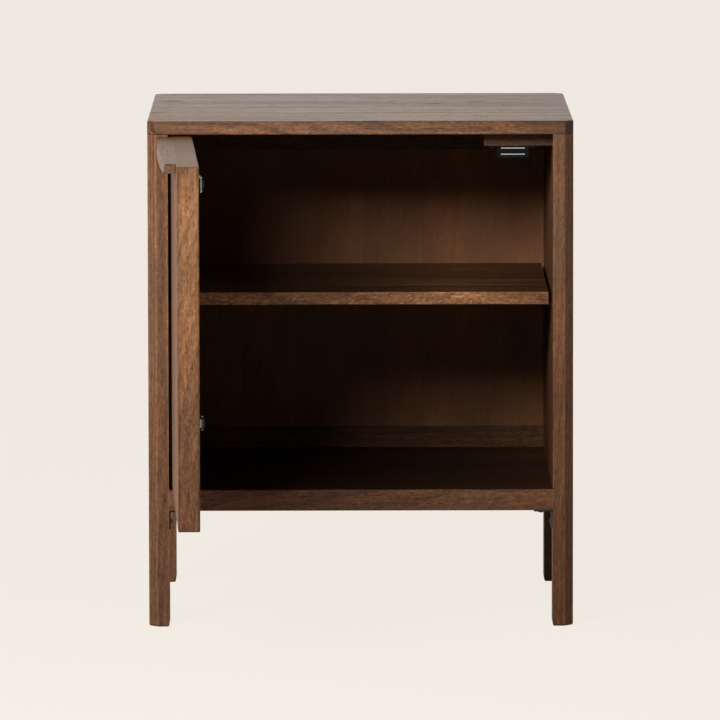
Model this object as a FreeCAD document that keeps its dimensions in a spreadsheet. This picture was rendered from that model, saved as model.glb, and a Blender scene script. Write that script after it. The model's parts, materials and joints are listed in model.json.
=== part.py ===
"""Side table in solid wood: a case on four legs with one shelf and a door on concealed hinges.

Frame: the origin is on the floor under the middle of the case, +X to the right, +Y to the back,
+Z up. The door stands open. Its pieces are made in their closed places and turned about the
hinge axis by their Placement.
"""
import FreeCAD, Part
import os
import re

import Sketcher
from FreeCAD import Vector

SIZES = [
    # case
    ("table_width", 500, "over the legs"),
    ("table_depth", 450, "front to back"),
    ("table_height", 597.5, "floor to the upper face of the top"),
    ("corner_bevel", 10, "bevel on the upright outer corners of legs and top"),
    ("eased_edge", 1.5, "rounded edges of the boards"),
    ("top_thickness", 16, "top board"),
    ("leg_width", 24, "leg, across the front"),
    ("leg_depth", 50, "leg, front to back"),
    ("foot_radius", 3, "rounded lower edge of each leg"),
    ("underside_height", 137.5, "floor to the underside of the bottom board"),
    ("bottom_thickness", 25, "bottom board"),
    ("side_thickness", 18, "side boards"),
    ("rail_thickness", 15, "back rails, front to back"),
    ("bottom_rail_height", 25.5, "lower back rail"),
    ("top_rail_height", 52, "upper back rail"),
    ("back_thickness", 5, "back panel"),
    ("back_setback", 5, "back panel in front of the rails' back face"),
    ("groove_depth", 8, "groove that holds the back panel"),
    ("groove_play", 1, "room between the panel's edge and the groove's floor"),
    # dowels
    ("dowel_radius", 4, "dowels of the case"),
    ("dowel_length", 30, "dowels between side boards and legs"),
    ("dowel_edge", 30, "first dowel from the end of a side board"),
    ("side_board_depth_of_dowel", 12, "bottom board dowels, in the side boards"),
    ("bottom_dowel_depth", 18, "bottom board dowels, in the bottom board"),
    ("bottom_dowel_spacing", 120, "bottom board dowels, front to back"),
    ("top_dowel_depth", 9, "top dowels, in the top"),
    ("top_dowel_foot", 20, "top dowels, in legs and side boards"),
    ("top_dowel_spacing", 200, "top dowels of a side board"),
    ("thin_dowel_radius", 3, "dowels of rails, cleat and pull"),
    ("rail_dowel_depth", 15, "rail dowels, in the rails"),
    ("rail_dowel_leg_depth", 12, "rail dowels, in the legs"),
    ("rail_dowel_height", 8, "lower rail dowel above the rail's lower edge"),
    ("top_rail_dowel_height", 20, "upper rail's first dowel above its lower edge"),
    ("top_rail_dowel_spacing", 20, "between the upper rail's two dowels"),
    # shelf
    ("shelf_thickness", 15, "shelf"),
    ("shelf_rise", 213.5, "bottom board to the underside of the shelf"),
    ("shelf_setback", 53, "shelf behind the front"),
    ("shelf_back_gap", 15, "shelf to back rails"),
    ("shelf_gap", 4, "shelf to side board"),
    ("peg_radius", 2.5, "shelf pegs"),
    ("peg_depth", 10, "shelf peg in the side board"),
    ("peg_reach", 12, "shelf peg out of the side board"),
    ("peg_collar_radius", 4, "collar of a shelf peg"),
    ("peg_collar_width", 1.2, "collar of a shelf peg"),
    ("peg_inset", 40, "pegs from the shelf's front and back edges"),
    # corner brackets under the bottom board
    ("bracket_leg", 22, "each flange of a corner bracket"),
    ("bracket_thickness", 2, "steel of a corner bracket"),
    ("bracket_width", 15, "corner bracket, front to back"),
    ("bracket_setback", 5, "corner bracket behind the leg's face"),
    ("bracket_hole_radius", 2.2, "screw holes of a bracket"),
    ("bracket_hole", 14, "screw holes from the bracket's corner"),
    # wood screws
    ("screw_radius", 1.75, "shank of the wood screws"),
    ("screw_length", 14, "shank of the wood screws"),
    ("screw_head_radius", 3.4, "pan head of the wood screws"),
    ("screw_head_height", 1.8, "pan head of the wood screws"),
    ("small_screw_radius", 1.4, "shank of the small screws"),
    ("small_screw_length", 10, "shank of the small screws"),
    ("small_screw_head_radius", 2.8, "head of the small screws"),
    ("small_screw_head_height", 1.4, "head of the small screws"),
    # magnetic catch
    ("cleat_width", 80.5, "wooden cleat above the catch"),
    ("cleat_height", 15.5, "cleat"),
    ("cleat_depth", 18, "cleat, front to back"),
    ("cleat_setback", 30, "cleat and catch behind the front"),
    ("cleat_dowel_inset", 15, "cleat dowels from the cleat's ends"),
    ("cleat_dowel_depth", 10, "cleat dowels, in the cleat"),
    ("cleat_dowel_rise", 8, "cleat dowels, in the top"),
    ("catch_inset", 46.6, "middle of the catch from the side board"),
    ("catch_width", 37, "catch housing"),
    ("catch_height", 14.5, "catch housing"),
    ("catch_depth", 15, "catch housing, front to back"),
    ("catch_ear_width", 56, "over the two ears of the catch"),
    ("catch_ear_thickness", 2, "ears"),
    ("catch_screw_spacing", 47, "between the ears' screws"),
    ("catch_ear_hole_radius", 1.7, "holes of the ears"),
    ("pole_width", 28, "pole plates and magnet"),
    ("pole_thickness", 1.2, "each pole plate"),
    ("pole_depth", 13, "magnet and the hidden part of the plates"),
    ("pole_reach", 1.2, "plates in front of the housing"),
    ("magnet_height", 6, "magnet between the plates"),
    ("pole_drop", 6.4, "middle of the magnet below the cleat"),
    # door
    ("door_thickness", 25, "door board"),
    ("door_side_gap", 2, "door to side boards"),
    ("door_top_gap", 2, "door to top"),
    ("door_bottom_gap", 4.5, "door to bottom board"),
    ("rest_angle", 88, "door open, degrees"),
    ("strike_width", 38, "strike plate"),
    ("strike_height", 17, "strike plate"),
    ("strike_thickness", 3.4, "strike plate"),
    ("strike_rounding", 2, "strike plate edge"),
    ("strike_drop", 3.5, "strike plate's middle below the magnet's"),
    ("strike_screw_spacing", 24, "between the strike plate's screws"),
    ("pull_height", 11, "pull along the door's top edge"),
    ("pull_start", 16.5, "pull from the hinge edge"),
    ("pull_end", 42.5, "pull from the free edge"),
    ("pull_upper_start", 15.2, "reach of the pull's upper edge at the hinge end"),
    ("pull_upper_middle", 16.4, "reach of the pull's upper edge in the middle"),
    ("pull_upper_end", 12.8, "reach of the pull's upper edge at the free end"),
    ("pull_lip_start", 15.8, "reach of the pull's lip at the hinge end"),
    ("pull_lip_middle", 18.2, "reach of the pull's lip in the middle"),
    ("pull_lip_end", 14.8, "reach of the pull's lip at the free end"),
    ("pull_dowel_depth", 12, "pull dowels, in the door"),
    ("pull_dowel_reach", 8, "pull dowels, in the pull"),
    ("pull_dowel_inset", 40, "outer pull dowels from the pull's ends"),
    # hinges, measured from the side board's face, the front and the hinge's middle
    ("hinge_rise", 71.8, "lower hinge's middle from the door's lower edge"),
    ("hinge_drop", 58.5, "upper hinge's middle from the door's upper edge"),
    ("pivot_across", 10.2, "hinge axis from the side board"),
    ("pivot_back", 6.5, "hinge axis behind the front"),
    ("cup_from_edge", 23, "middle of the cup from the hinge edge"),
    ("cup_radius", 17.4, "cup"),
    ("cup_play", 0.1, "cup in its hole"),
    ("cup_depth", 13, "cup"),
    ("cup_wall", 0.7, "cup"),
    ("cup_floor", 1, "cup"),
    ("cup_rim_radius", 20, "rim of the cup"),
    ("flange_thickness", 1, "rim and flange of the cup"),
    ("flange_width", 15.5, "flange with the cup's screws"),
    ("flange_height", 60, "flange with the cup's screws"),
    ("flange_rounding", 5, "flange corners"),
    ("cup_screw_spacing", 48, "between the cup's screws"),
    ("cup_screw_offset", 9.5, "cup's screws from the cup's middle"),
    ("cup_pin_across", 12, "pin in the cup, door closed"),
    ("cup_pin_back", 19.7, "pin in the cup, door closed"),
    ("pin_radius", 1.25, "hinge pins"),
    ("pin_play", 0.06, "link around the cup pin"),
    ("lug_width", 4.7, "lugs that hold the cup pin"),
    ("lug_thickness", 2, "lugs"),
    ("lug_rise", 2.6, "lugs above the pin's middle"),
    ("link_thickness", 10, "hinge link, along the pins"),
    ("link_lug_gap", 0.6, "link to lug"),
    ("link_half_width", 1.3, "neck of the link, half"),
    ("link_eye_radius", 2.3, "eye of the link"),
    ("link_knee_across", 12.3, "bend of the link, seen on the door"),
    ("link_knee_back", 27.2, "bend of the link, seen on the door"),
    ("link_slot_wide", 2.65, "slot of the link, half its width near the cup"),
    ("link_slot_narrow", 2.15, "slot of the link, half its width at the far end"),
    ("link_slot_near", 24, "middle of the slot's near end from the cup pin"),
    ("link_slot_turn", 26, "where the slot narrows, from the cup pin"),
    ("link_slot_far", 29.3, "middle of the slot's far end from the cup pin"),
    ("link_slot_wall", 1.15, "link around its slot"),
    ("arm_pin_across", 38.3, "pin in the arm"),
    ("arm_pin_back", 29.6, "pin in the arm"),
    ("arm_width", 17, "arm, over its cheeks"),
    ("arm_steel", 1.5, "arm's steel"),
    ("arm_tip_radius", 2.6, "arm around its pin"),
    ("arm_mouth", 8.5, "where the arm's web ends, behind its pin"),
    ("arm_elbow_back", 35, "arm's elbow behind the front"),
    ("arm_foot", 2.2, "arm's cheeks from the side board"),
    ("arm_rise", 13.5, "arm's web from the side board"),
    ("arm_bend_back", 57, "where the arm turns in"),
    ("arm_back", 96, "arm's end behind the front"),
    ("arm_throat", 7, "cheek width at the arm's turn"),
    ("plate_block_rise", 8, "block of the mounting plate"),
    ("plate_block_front", 50, "block behind the front"),
    ("plate_block_back", 94, "block behind the front"),
    ("plate_thickness", 2, "wings of the mounting plate"),
    ("plate_back", 61, "mounting plate's screws behind the front"),
    ("plate_width", 20, "wings, front to back"),
    ("plate_height", 56, "over the wings"),
    ("plate_screw_spacing", 32, "between the mounting plate's screws"),
    ("arm_screw_radius", 2, "screws of the arm"),
    ("arm_screw_length", 10, "screws of the arm"),
    ("arm_screw_head_radius", 3.2, "screws of the arm"),
    ("arm_screw_head_height", 1.6, "screws of the arm"),
    ("arm_screw_front", 66, "front screw of the arm behind the front"),
    ("arm_screw_spacing", 20, "between the arm's two screws"),
]
SIZE_NAMES = {alias for alias, number, meaning in SIZES}

# places that several pieces share, as expressions on the sheet's sizes
FRONT = "(-table_depth / 2)"
BACK = "(table_depth / 2)"
INNER = "(table_width / 2 - leg_width)"
LEG_TOP = "(table_height - top_thickness)"
FLOOR_TOP = "(underside_height + bottom_thickness)"
BOTTOM_MIDDLE = "(underside_height + bottom_thickness / 2)"
BOTTOM_DOWELS_BACK = ["-bottom_dowel_spacing", "0", "bottom_dowel_spacing"]
BOARD_END = "(table_depth / 2 - leg_depth)"
SIDE_MIDDLE = f"({INNER} + side_thickness / 2)"
LEG_MIDDLE = f"({INNER} + leg_width / 2)"
LEG_CENTRE_BACK = "(table_depth / 2 - leg_depth / 2)"
RAIL_FRONT = f"({BACK} - rail_thickness)"
RAIL_MIDDLE = f"({BACK} - rail_thickness / 2)"
LOWER_RAIL_TOP = f"({FLOOR_TOP} + bottom_rail_height)"
UPPER_RAIL_FOOT = f"({LEG_TOP} - top_rail_height)"
GROOVE_BACK = f"({BACK} - back_setback)"
GROOVE_FRONT = f"({GROOVE_BACK} - back_thickness)"
SHELF_FOOT = f"({FLOOR_TOP} + shelf_rise)"
PEG_HEIGHT = f"({SHELF_FOOT} - peg_radius)"
SHELF_FRONT = f"({FRONT} + shelf_setback)"
SHELF_BACK = f"({RAIL_FRONT} - shelf_back_gap)"
PEG_FRONT = f"({SHELF_FRONT} + peg_inset)"
PEG_BACK = f"({SHELF_BACK} - peg_inset)"
CLEAT_FOOT = f"({LEG_TOP} - cleat_height)"
CATCH_FRONT = f"({FRONT} + cleat_setback)"
CATCH_MIDDLE = f"({INNER} - catch_inset)"
POLE_MIDDLE = f"({CLEAT_FOOT} - pole_drop)"
STRIKE_HEIGHT = f"({POLE_MIDDLE} - strike_drop)"
CATCH_SCREW_BACK = f"({CATCH_FRONT} + catch_depth / 2)"
BRACKET_BACK = f"({BACK} - bracket_setback - bracket_width / 2)"
HINGE_EDGE = f"(-{INNER} + door_side_gap)"
FREE_EDGE = f"({INNER} - door_side_gap)"
DOOR_FOOT = f"({FLOOR_TOP} + door_bottom_gap)"
DOOR_TOP = f"({LEG_TOP} - door_top_gap)"
DOOR_INNER = f"({FRONT} + door_thickness)"
PULL_FOOT = f"({DOOR_TOP} - pull_height)"
PULL_START = f"({HINGE_EDGE} + pull_start)"
PULL_END = f"({FREE_EDGE} - pull_end)"
PULL_DOWEL_HEIGHT = f"({DOOR_TOP} - pull_height / 2)"
HINGE_HEIGHTS = {
    "lower": f"({DOOR_FOOT} + hinge_rise)",
    "upper": f"({DOOR_TOP} - hinge_drop)",
}
CUP_ACROSS = "(door_side_gap + cup_from_edge)"
CUP_SCREW_ACROSS = f"({CUP_ACROSS} + cup_screw_offset)"
PLATE_SCREW_RISE = "(plate_screw_spacing / 2)"
# the arm's pin as the open door sees it, and the link's direction toward it
PIN_ACROSS = "(arm_pin_across - pivot_across)"
PIN_BACK = "(arm_pin_back - pivot_back)"
SEEN_ACROSS = f"(pivot_across + {PIN_ACROSS} * cos(rest_angle) - {PIN_BACK} * sin(rest_angle))"
SEEN_BACK = f"(pivot_back + {PIN_ACROSS} * sin(rest_angle) + {PIN_BACK} * cos(rest_angle))"
LINK_TURN = f"atan2({SEEN_BACK} - cup_pin_back; {SEEN_ACROSS} - cup_pin_across)"
SIDES = {"left": -1, "right": 1}
ENDS = {"front": -1, "back": 1}

doc = FreeCAD.newDocument("SideTable")
sheet = doc.addObject("Spreadsheet::Sheet", "Sizes")
for row, (alias, number, meaning) in enumerate(SIZES, start=1):
    sheet.set(f"A{row}", meaning)
    sheet.set(f"B{row}", str(number))
    sheet.setAlias(f"B{row}", alias)
doc.recompute()


def sheet_name(word):
    return f"Sizes.{word[0]}" if word[0] in SIZE_NAMES else word[0]


def expr(text):
    """The text as an expression in which each size is read from the sheet."""
    return re.sub(r"[a-z_]+", sheet_name, text)


def value(text):
    """The number that an expression gives now."""
    return float(sheet.evalExpression(expr(text)))


def new_body(label):
    body = doc.addObject("PartDesign::Body", label)
    body.Label = label
    return body


def sketch_on(body, axis, at):
    """A sketch square to an axis of the body, at a place along that axis."""
    roles = {"x": "YZ_Plane", "y": "XZ_Plane", "z": "XY_Plane"}
    plane = [item for item in body.Origin.OriginFeatures if item.Role == roles[axis]][0]
    sketch = body.newObject("Sketcher::SketchObject", body.Name + "_outline")
    sketch.AttachmentSupport = [(plane, "")]
    sketch.MapMode = "FlatFace"
    # the XZ plane faces -Y
    sketch.setExpression("AttachmentOffset.Base.z", expr(f"-({at})" if axis == "y" else at))
    return sketch


def pin_point(sketch, geometry, point, place):
    """Ties a point of the sketch to a pair of expressions."""
    for kind, text in zip(("DistanceX", "DistanceY"), place):
        rule = Sketcher.Constraint(kind, -1, 1, geometry, point, value(text))
        index = sketch.addConstraint(rule)
        sketch.setExpression(f"Constraints[{index}]", expr(text))


def add_polygon(sketch, places):
    """A closed outline through places, each a pair of expressions."""
    first = sketch.GeometryCount
    corners = [Vector(value(u), value(v), 0) for u, v in places]
    count = len(corners)
    for index, corner in enumerate(corners):
        sketch.addGeometry(Part.LineSegment(corner, corners[(index + 1) % count]))
    for index in range(count):
        meeting = Sketcher.Constraint("Coincident", first + index, 2, first + (index + 1) % count, 1)
        sketch.addConstraint(meeting)
    for index, place in enumerate(places):
        pin_point(sketch, first + index, 1, place)


def add_rectangle(sketch, low, high):
    """A rectangle between two corners, each a pair of expressions."""
    add_polygon(sketch, [low, (high[0], low[1]), high, (low[0], high[1])])


def add_circle(sketch, centre, radius):
    """A circle round a pair of expressions."""
    middle = Vector(value(centre[0]), value(centre[1]), 0)
    index = sketch.addGeometry(Part.Circle(middle, Vector(0, 0, 1), value(radius)))
    pin_point(sketch, index, 3, centre)
    rule = sketch.addConstraint(Sketcher.Constraint("Radius", index, value(radius)))
    sketch.setExpression(f"Constraints[{rule}]", expr(radius))


def pad(body, sketch, axis, length):
    """Grows the sketch along +axis."""
    feature = body.newObject("PartDesign::Pad", body.Name + "_pad")
    feature.Profile = sketch
    feature.setExpression("Length", expr(length))
    feature.Reversed = axis == "y"
    return feature


def cut(body, sketch, axis, toward, depth):
    """Cuts the sketch into the body, toward + or - along the axis."""
    doc.recompute()
    before = body.Shape.Volume
    feature = body.newObject("PartDesign::Pocket", body.Name + "_cut")
    feature.Profile = sketch
    feature.setExpression("Length", expr(depth))
    feature.Reversed = (toward > 0) != (axis == "y")
    doc.recompute()
    if body.Shape.Volume >= before - 1e-6:
        raise RuntimeError(f"{body.Label}: a cut along {axis} removes nothing")
    return feature


def board(label, x, y, z):
    """A board that fills the box between pairs of expressions."""
    body = new_body(label)
    sketch = sketch_on(body, "z", z[0])
    add_rectangle(sketch, (x[0], y[0]), (x[1], y[1]))
    pad(body, sketch, "z", f"{z[1]} - {z[0]}")
    return body


def drill(body, axis, at, toward, centres, radius, depth):
    """Round blind holes along an axis, from the plane at."""
    sketch = sketch_on(body, axis, at)
    for centre in centres:
        add_circle(sketch, centre, radius)
    cut(body, sketch, axis, toward, depth)


def shape_edges(body, kind, length, size, wanted):
    """Adds a feature of the kind on the edges that wanted picks, its named length set to the size."""
    doc.recompute()
    tip = body.Tip
    names = [f"Edge{index}" for index, edge in enumerate(tip.Shape.Edges, start=1) if wanted(edge)]
    feature = body.newObject(f"PartDesign::{kind}", f"{body.Name}_{kind.lower()}")
    feature.Base = (tip, names)
    feature.setExpression(length, expr(size))
    doc.recompute()


def round_edges(body, radius, wanted):
    """Rounds the edges of the body that wanted picks."""
    shape_edges(body, "Fillet", "Radius", radius, wanted)


def bevel_edges(body, width, wanted):
    """Bevels the edges of the body that wanted picks, at 45 degrees."""
    shape_edges(body, "Chamfer", "Size", width, wanted)


def upright(edge):
    return abs(edge.tangentAt(edge.FirstParameter).z) > 0.999


def near(edge, x=None, y=None, z=None):
    """Whether every corner of the edge has the coordinates that are given."""
    wanted = ((0, x), (1, y), (2, z))
    return all(
        abs(vertex.Point[axis] - place) < 1e-4
        for vertex in edge.Vertexes
        for axis, place in wanted
        if place is not None
    )


def turned_copy(label, source, place):
    """A linked copy of a piece at a placement expression."""
    link = doc.addObject("App::Link", label)
    link.LinkedObject = source
    link.setExpression("Placement", expr(place))
    return link


def group(label, source, places):
    """One node that holds a copy of the source at each placement expression."""
    compound = doc.addObject("Part::Compound", label)
    compound.Label = label
    compound.Links = [
        turned_copy(f"{label}_{index}", source, place)
        for index, place in enumerate(places, start=1)
    ]
    return compound


# how a piece whose axis is Z is turned so that its lower end points each way
POINTING = {
    "+x": "vector(0; 1; 0); -90",
    "-x": "vector(0; 1; 0); 90",
    "+y": "vector(1; 0; 0); 90",
    "-y": "vector(1; 0; 0); -90",
    "+z": "vector(1; 0; 0); 180",
    "-z": "vector(1; 0; 0); 0",
}
OPEN_TURN = "rotation(vector(0; 0; 1); -rest_angle)"
DOOR_PLACE = (
    f"placement(vector(0; 0; 0); {OPEN_TURN};"
    f" vector(-{INNER} + pivot_across; {FRONT} + pivot_back; 0))"
)


def at(pointing, x, y, z):
    """A placement expression for a piece that points one way at a place."""
    return f"placement(vector({x}; {y}; {z}); rotation({POINTING[pointing]}))"


def on_door(place):
    """A placement expression of the closed door, carried along with the open door."""
    return f"{DOOR_PLACE} * {place}"


def at_hinge(height):
    """The placement of a hinge piece on the case: its own zero is on the side board at the front."""
    return f"placement(vector(-{INNER}; {FRONT}; {height}); rotation(vector(0; 0; 1); 0))"


def open_door(piece):
    """Turns a piece of the door from its closed place to the open one."""
    piece.setExpression("Placement", expr(DOOR_PLACE))


def turned_piece(label, outline):
    """A round piece about Z, from the radius and height of each corner of its half outline."""
    body = new_body(label)
    sketch = sketch_on(body, "y", "0")
    add_polygon(sketch, outline)
    feature = body.newObject("PartDesign::Revolution", label + "_turning")
    feature.Profile = sketch
    feature.ReferenceAxis = (sketch, ["V_Axis"])
    feature.Angle = 360
    return body


def make_screw(label, radius, length, head_radius, head_height):
    """A pan head screw that points down, with its head on the plane Z = 0."""
    point = f"({length} - {radius})"
    screw = turned_piece(label, [
        ("0", head_height),
        (f"{head_radius} * 0.6", head_height),
        (head_radius, f"{head_height} * 0.5"),
        (head_radius, "0"),
        (radius, "0"),
        (radius, f"-{point}"),
        ("0", f"-{length}"),
    ])
    recess = sketch_on(screw, "z", head_height)
    reach = f"({head_radius} * 0.5)"
    half_width = f"({head_radius} * 0.12)"
    add_polygon(recess, cross(reach, half_width))
    cut(screw, recess, "z", -1, f"{head_height} * 0.8")
    return screw


def cross(reach, half_width):
    """The twelve corners of an upright cross."""
    steps = ((1, -1), (1, 1), (-1, 1), (-1, -1))
    corners = []
    for a, b in steps:
        arm = (f"{a} * {reach}", f"{b} * {half_width}")
        notch = (f"{a} * {half_width}", f"{b} * {reach}")
        inner = (f"{a} * {half_width}", f"{b} * {half_width}")
        corners += [arm, inner, notch] if a == b else [notch, inner, arm]
    return corners


def make_pin(label, radius, low, high):
    """A plain pin or dowel along Z between two heights."""
    bevel = f"({radius} * 0.2)"
    return turned_piece(label, [
        ("0", low),
        (f"{radius} - {bevel}", low),
        (radius, f"{low} + {bevel}"),
        (radius, f"{high} - {bevel}"),
        (f"{radius} - {bevel}", high),
        ("0", high),
    ])


def side_dowel_heights():
    low = "(underside_height + dowel_edge)"
    high = f"({LEG_TOP} - dowel_edge)"
    return [low, f"(({low} + {high}) / 2)", high]


def upper_rail_dowel_heights():
    low = f"({UPPER_RAIL_FOOT} + top_rail_dowel_height)"
    return [low, f"({low} + top_rail_dowel_spacing)"]


def top_dowel_places():
    """Over the middle of each leg, and two over each side board."""
    return [
        (f"{sx} * {across}", f"{sy} * {back}")
        for across, back in ((LEG_MIDDLE, LEG_CENTRE_BACK), (SIDE_MIDDLE, "top_dowel_spacing / 2"))
        for sx in SIDES.values()
        for sy in ENDS.values()
    ]


def make_top():
    across = ("-table_width / 2", "table_width / 2")
    top = board("top_panel", across, (FRONT, BACK), (LEG_TOP, "table_height"))
    bevel_edges(top, "corner_bevel", upright)
    lower, upper = value(LEG_TOP), value("table_height")
    round_edges(top, "eased_edge", lambda edge: near(edge, z=lower) or near(edge, z=upper))
    drill(top, "z", LEG_TOP, 1, top_dowel_places(), "dowel_radius", "top_dowel_depth")
    cleat_dowels = [(x, f"{CATCH_FRONT} + cleat_depth / 2") for x in cleat_dowel_places()]
    drill(top, "z", LEG_TOP, 1, cleat_dowels, "thin_dowel_radius", "cleat_dowel_rise")


def make_leg(end, sy, side, sx):
    """A leg, bevelled on its outer corner and rounded round its foot."""
    outer_x = f"{sx} * table_width / 2"
    outer_y = f"{sy} * table_depth / 2"
    inner_x = f"{sx} * {INNER}"
    inner_y = f"{sy} * {BOARD_END}"
    leg = board(f"leg_{end}_{side}", (outer_x, inner_x), (outer_y, inner_y), ("0", LEG_TOP))
    corner = {"x": value(outer_x), "y": value(outer_y)}
    bevel_edges(leg, "corner_bevel", lambda edge: near(edge, **corner))
    round_edges(leg, "foot_radius", lambda edge: near(edge, z=0))
    side_dowels = [(f"{sx} * {SIDE_MIDDLE}", height) for height in side_dowel_heights()]
    drill(leg, "y", inner_y, sy, side_dowels, "dowel_radius", "dowel_length / 2")
    top_dowel = [(f"{sx} * {LEG_MIDDLE}", f"{sy} * {LEG_CENTRE_BACK}")]
    drill(leg, "z", LEG_TOP, -1, top_dowel, "dowel_radius", "top_dowel_foot")
    bracket_screw = [(f"{sy} * {BRACKET_BACK}", "underside_height - bracket_hole")]
    drill(leg, "x", inner_x, sx, bracket_screw, "screw_radius", "screw_length - bracket_thickness")
    if end == "back":
        heights = [f"{FLOOR_TOP} + rail_dowel_height"] + upper_rail_dowel_heights()
        rail_dowels = [(RAIL_MIDDLE, height) for height in heights]
        drill(leg, "x", inner_x, sx, rail_dowels, "thin_dowel_radius", "rail_dowel_leg_depth")
        groove = sketch_on(leg, "x", inner_x)
        low = (GROOVE_FRONT, f"{LOWER_RAIL_TOP} - groove_depth")
        add_rectangle(groove, low, (GROOVE_BACK, f"{UPPER_RAIL_FOOT} + groove_depth"))
        cut(leg, groove, "x", sx, "groove_depth")


def make_side(side, sx):
    """A side board between the legs, with the holes of the shelf pegs and on the left the hinges."""
    inner_x = f"{sx} * {INNER}"
    outer_x = f"{sx} * ({INNER} + side_thickness)"
    body = board(
        f"side_board_{side}",
        (inner_x, outer_x),
        (f"-{BOARD_END}", BOARD_END),
        ("underside_height", LEG_TOP),
    )
    ends = [(f"{sx} * {SIDE_MIDDLE}", height) for height in side_dowel_heights()]
    for sy in ENDS.values():
        drill(body, "y", f"{sy} * {BOARD_END}", -sy, ends, "dowel_radius", "dowel_length / 2")
    rows = [(back, BOTTOM_MIDDLE) for back in BOTTOM_DOWELS_BACK]
    drill(body, "x", inner_x, sx, rows, "dowel_radius", "side_board_depth_of_dowel")
    tops = [(f"{sx} * {SIDE_MIDDLE}", f"{sy} * top_dowel_spacing / 2") for sy in ENDS.values()]
    drill(body, "z", LEG_TOP, -1, tops, "dowel_radius", "top_dowel_foot")
    pegs = [(place, PEG_HEIGHT) for place in (PEG_FRONT, PEG_BACK)]
    drill(body, "x", inner_x, sx, pegs, "peg_radius", "peg_depth")
    if side == "left":
        screws = [(f"{FRONT} + plate_back", height) for height in plate_screw_heights()]
        drill(body, "x", inner_x, sx, screws, "screw_radius", "screw_length - plate_thickness")


def plate_screw_heights():
    return [
        f"({middle} + {step} * {PLATE_SCREW_RISE})"
        for middle in HINGE_HEIGHTS.values()
        for step in (-1, 1)
    ]


def make_bottom():
    bottom = board(
        "bottom_board",
        (f"-{INNER}", INNER),
        (FRONT, BACK),
        ("underside_height", FLOOR_TOP),
    )
    front = value(FRONT)
    round_edges(bottom, "eased_edge", lambda edge: near(edge, y=front) and not upright(edge))
    rows = [(back, BOTTOM_MIDDLE) for back in BOTTOM_DOWELS_BACK]
    for sx in SIDES.values():
        drill(bottom, "x", f"{sx} * {INNER}", -sx, rows, "dowel_radius", "bottom_dowel_depth")
    screws = [
        (f"{sx} * ({INNER} - bracket_hole)", f"{sy} * {BRACKET_BACK}")
        for sx in SIDES.values()
        for sy in ENDS.values()
    ]
    drill(bottom, "z", "underside_height", 1, screws, "screw_radius", "screw_length - bracket_thickness")


def make_back():
    """The back: two rails between the back legs, with a thin panel in their grooves."""
    lower = board("back_rail_lower", (f"-{INNER}", INNER), (RAIL_FRONT, BACK), (FLOOR_TOP, LOWER_RAIL_TOP))
    upper = board("back_rail_upper", (f"-{INNER}", INNER), (RAIL_FRONT, BACK), (UPPER_RAIL_FOOT, LEG_TOP))
    rails = (
        (lower, LOWER_RAIL_TOP, -1, [f"{FLOOR_TOP} + rail_dowel_height"]),
        (upper, UPPER_RAIL_FOOT, 1, upper_rail_dowel_heights()),
    )
    for rail, grooved_edge, toward, heights in rails:
        groove = sketch_on(rail, "z", grooved_edge)
        add_rectangle(groove, (f"-{INNER}", GROOVE_FRONT), (INNER, GROOVE_BACK))
        cut(rail, groove, "z", toward, "groove_depth")
        for sx in SIDES.values():
            ends = [(RAIL_MIDDLE, height) for height in heights]
            drill(rail, "x", f"{sx} * {INNER}", -sx, ends, "thin_dowel_radius", "rail_dowel_depth")
    reach = "(groove_depth - groove_play)"
    board(
        "back_panel",
        (f"-({INNER} + {reach})", f"({INNER} + {reach})"),
        (GROOVE_FRONT, GROOVE_BACK),
        (f"({LOWER_RAIL_TOP} - {reach})", f"({UPPER_RAIL_FOOT} + {reach})"),
    )


def make_shelf():
    """The shelf, loose on four pegs."""
    edge = f"({INNER} - shelf_gap)"
    top = f"({SHELF_FOOT} + shelf_thickness)"
    shelf = board("shelf", (f"-{edge}", edge), (SHELF_FRONT, SHELF_BACK), (SHELF_FOOT, top))
    front_y = value(SHELF_FRONT)
    round_edges(shelf, "eased_edge", lambda edge: near(edge, y=front_y) and not upright(edge))
    peg = turned_piece("peg", [
        ("0", "-peg_depth"),
        ("peg_radius", "-peg_depth"),
        ("peg_radius", "0"),
        ("peg_collar_radius", "0"),
        ("peg_collar_radius", "peg_collar_width"),
        ("peg_radius", "peg_collar_width"),
        ("peg_radius", "peg_reach"),
        ("0", "peg_reach"),
    ])
    pointing = {-1: "-x", 1: "+x"}
    group("shelf_pegs", peg, [
        at(pointing[sx], f"{sx} * {INNER}", place, PEG_HEIGHT)
        for sx in SIDES.values()
        for place in (PEG_FRONT, PEG_BACK)
    ])


def cleat_dowel_places():
    return [f"({INNER} - cleat_dowel_inset)", f"({INNER} - cleat_width + cleat_dowel_inset)"]


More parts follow.
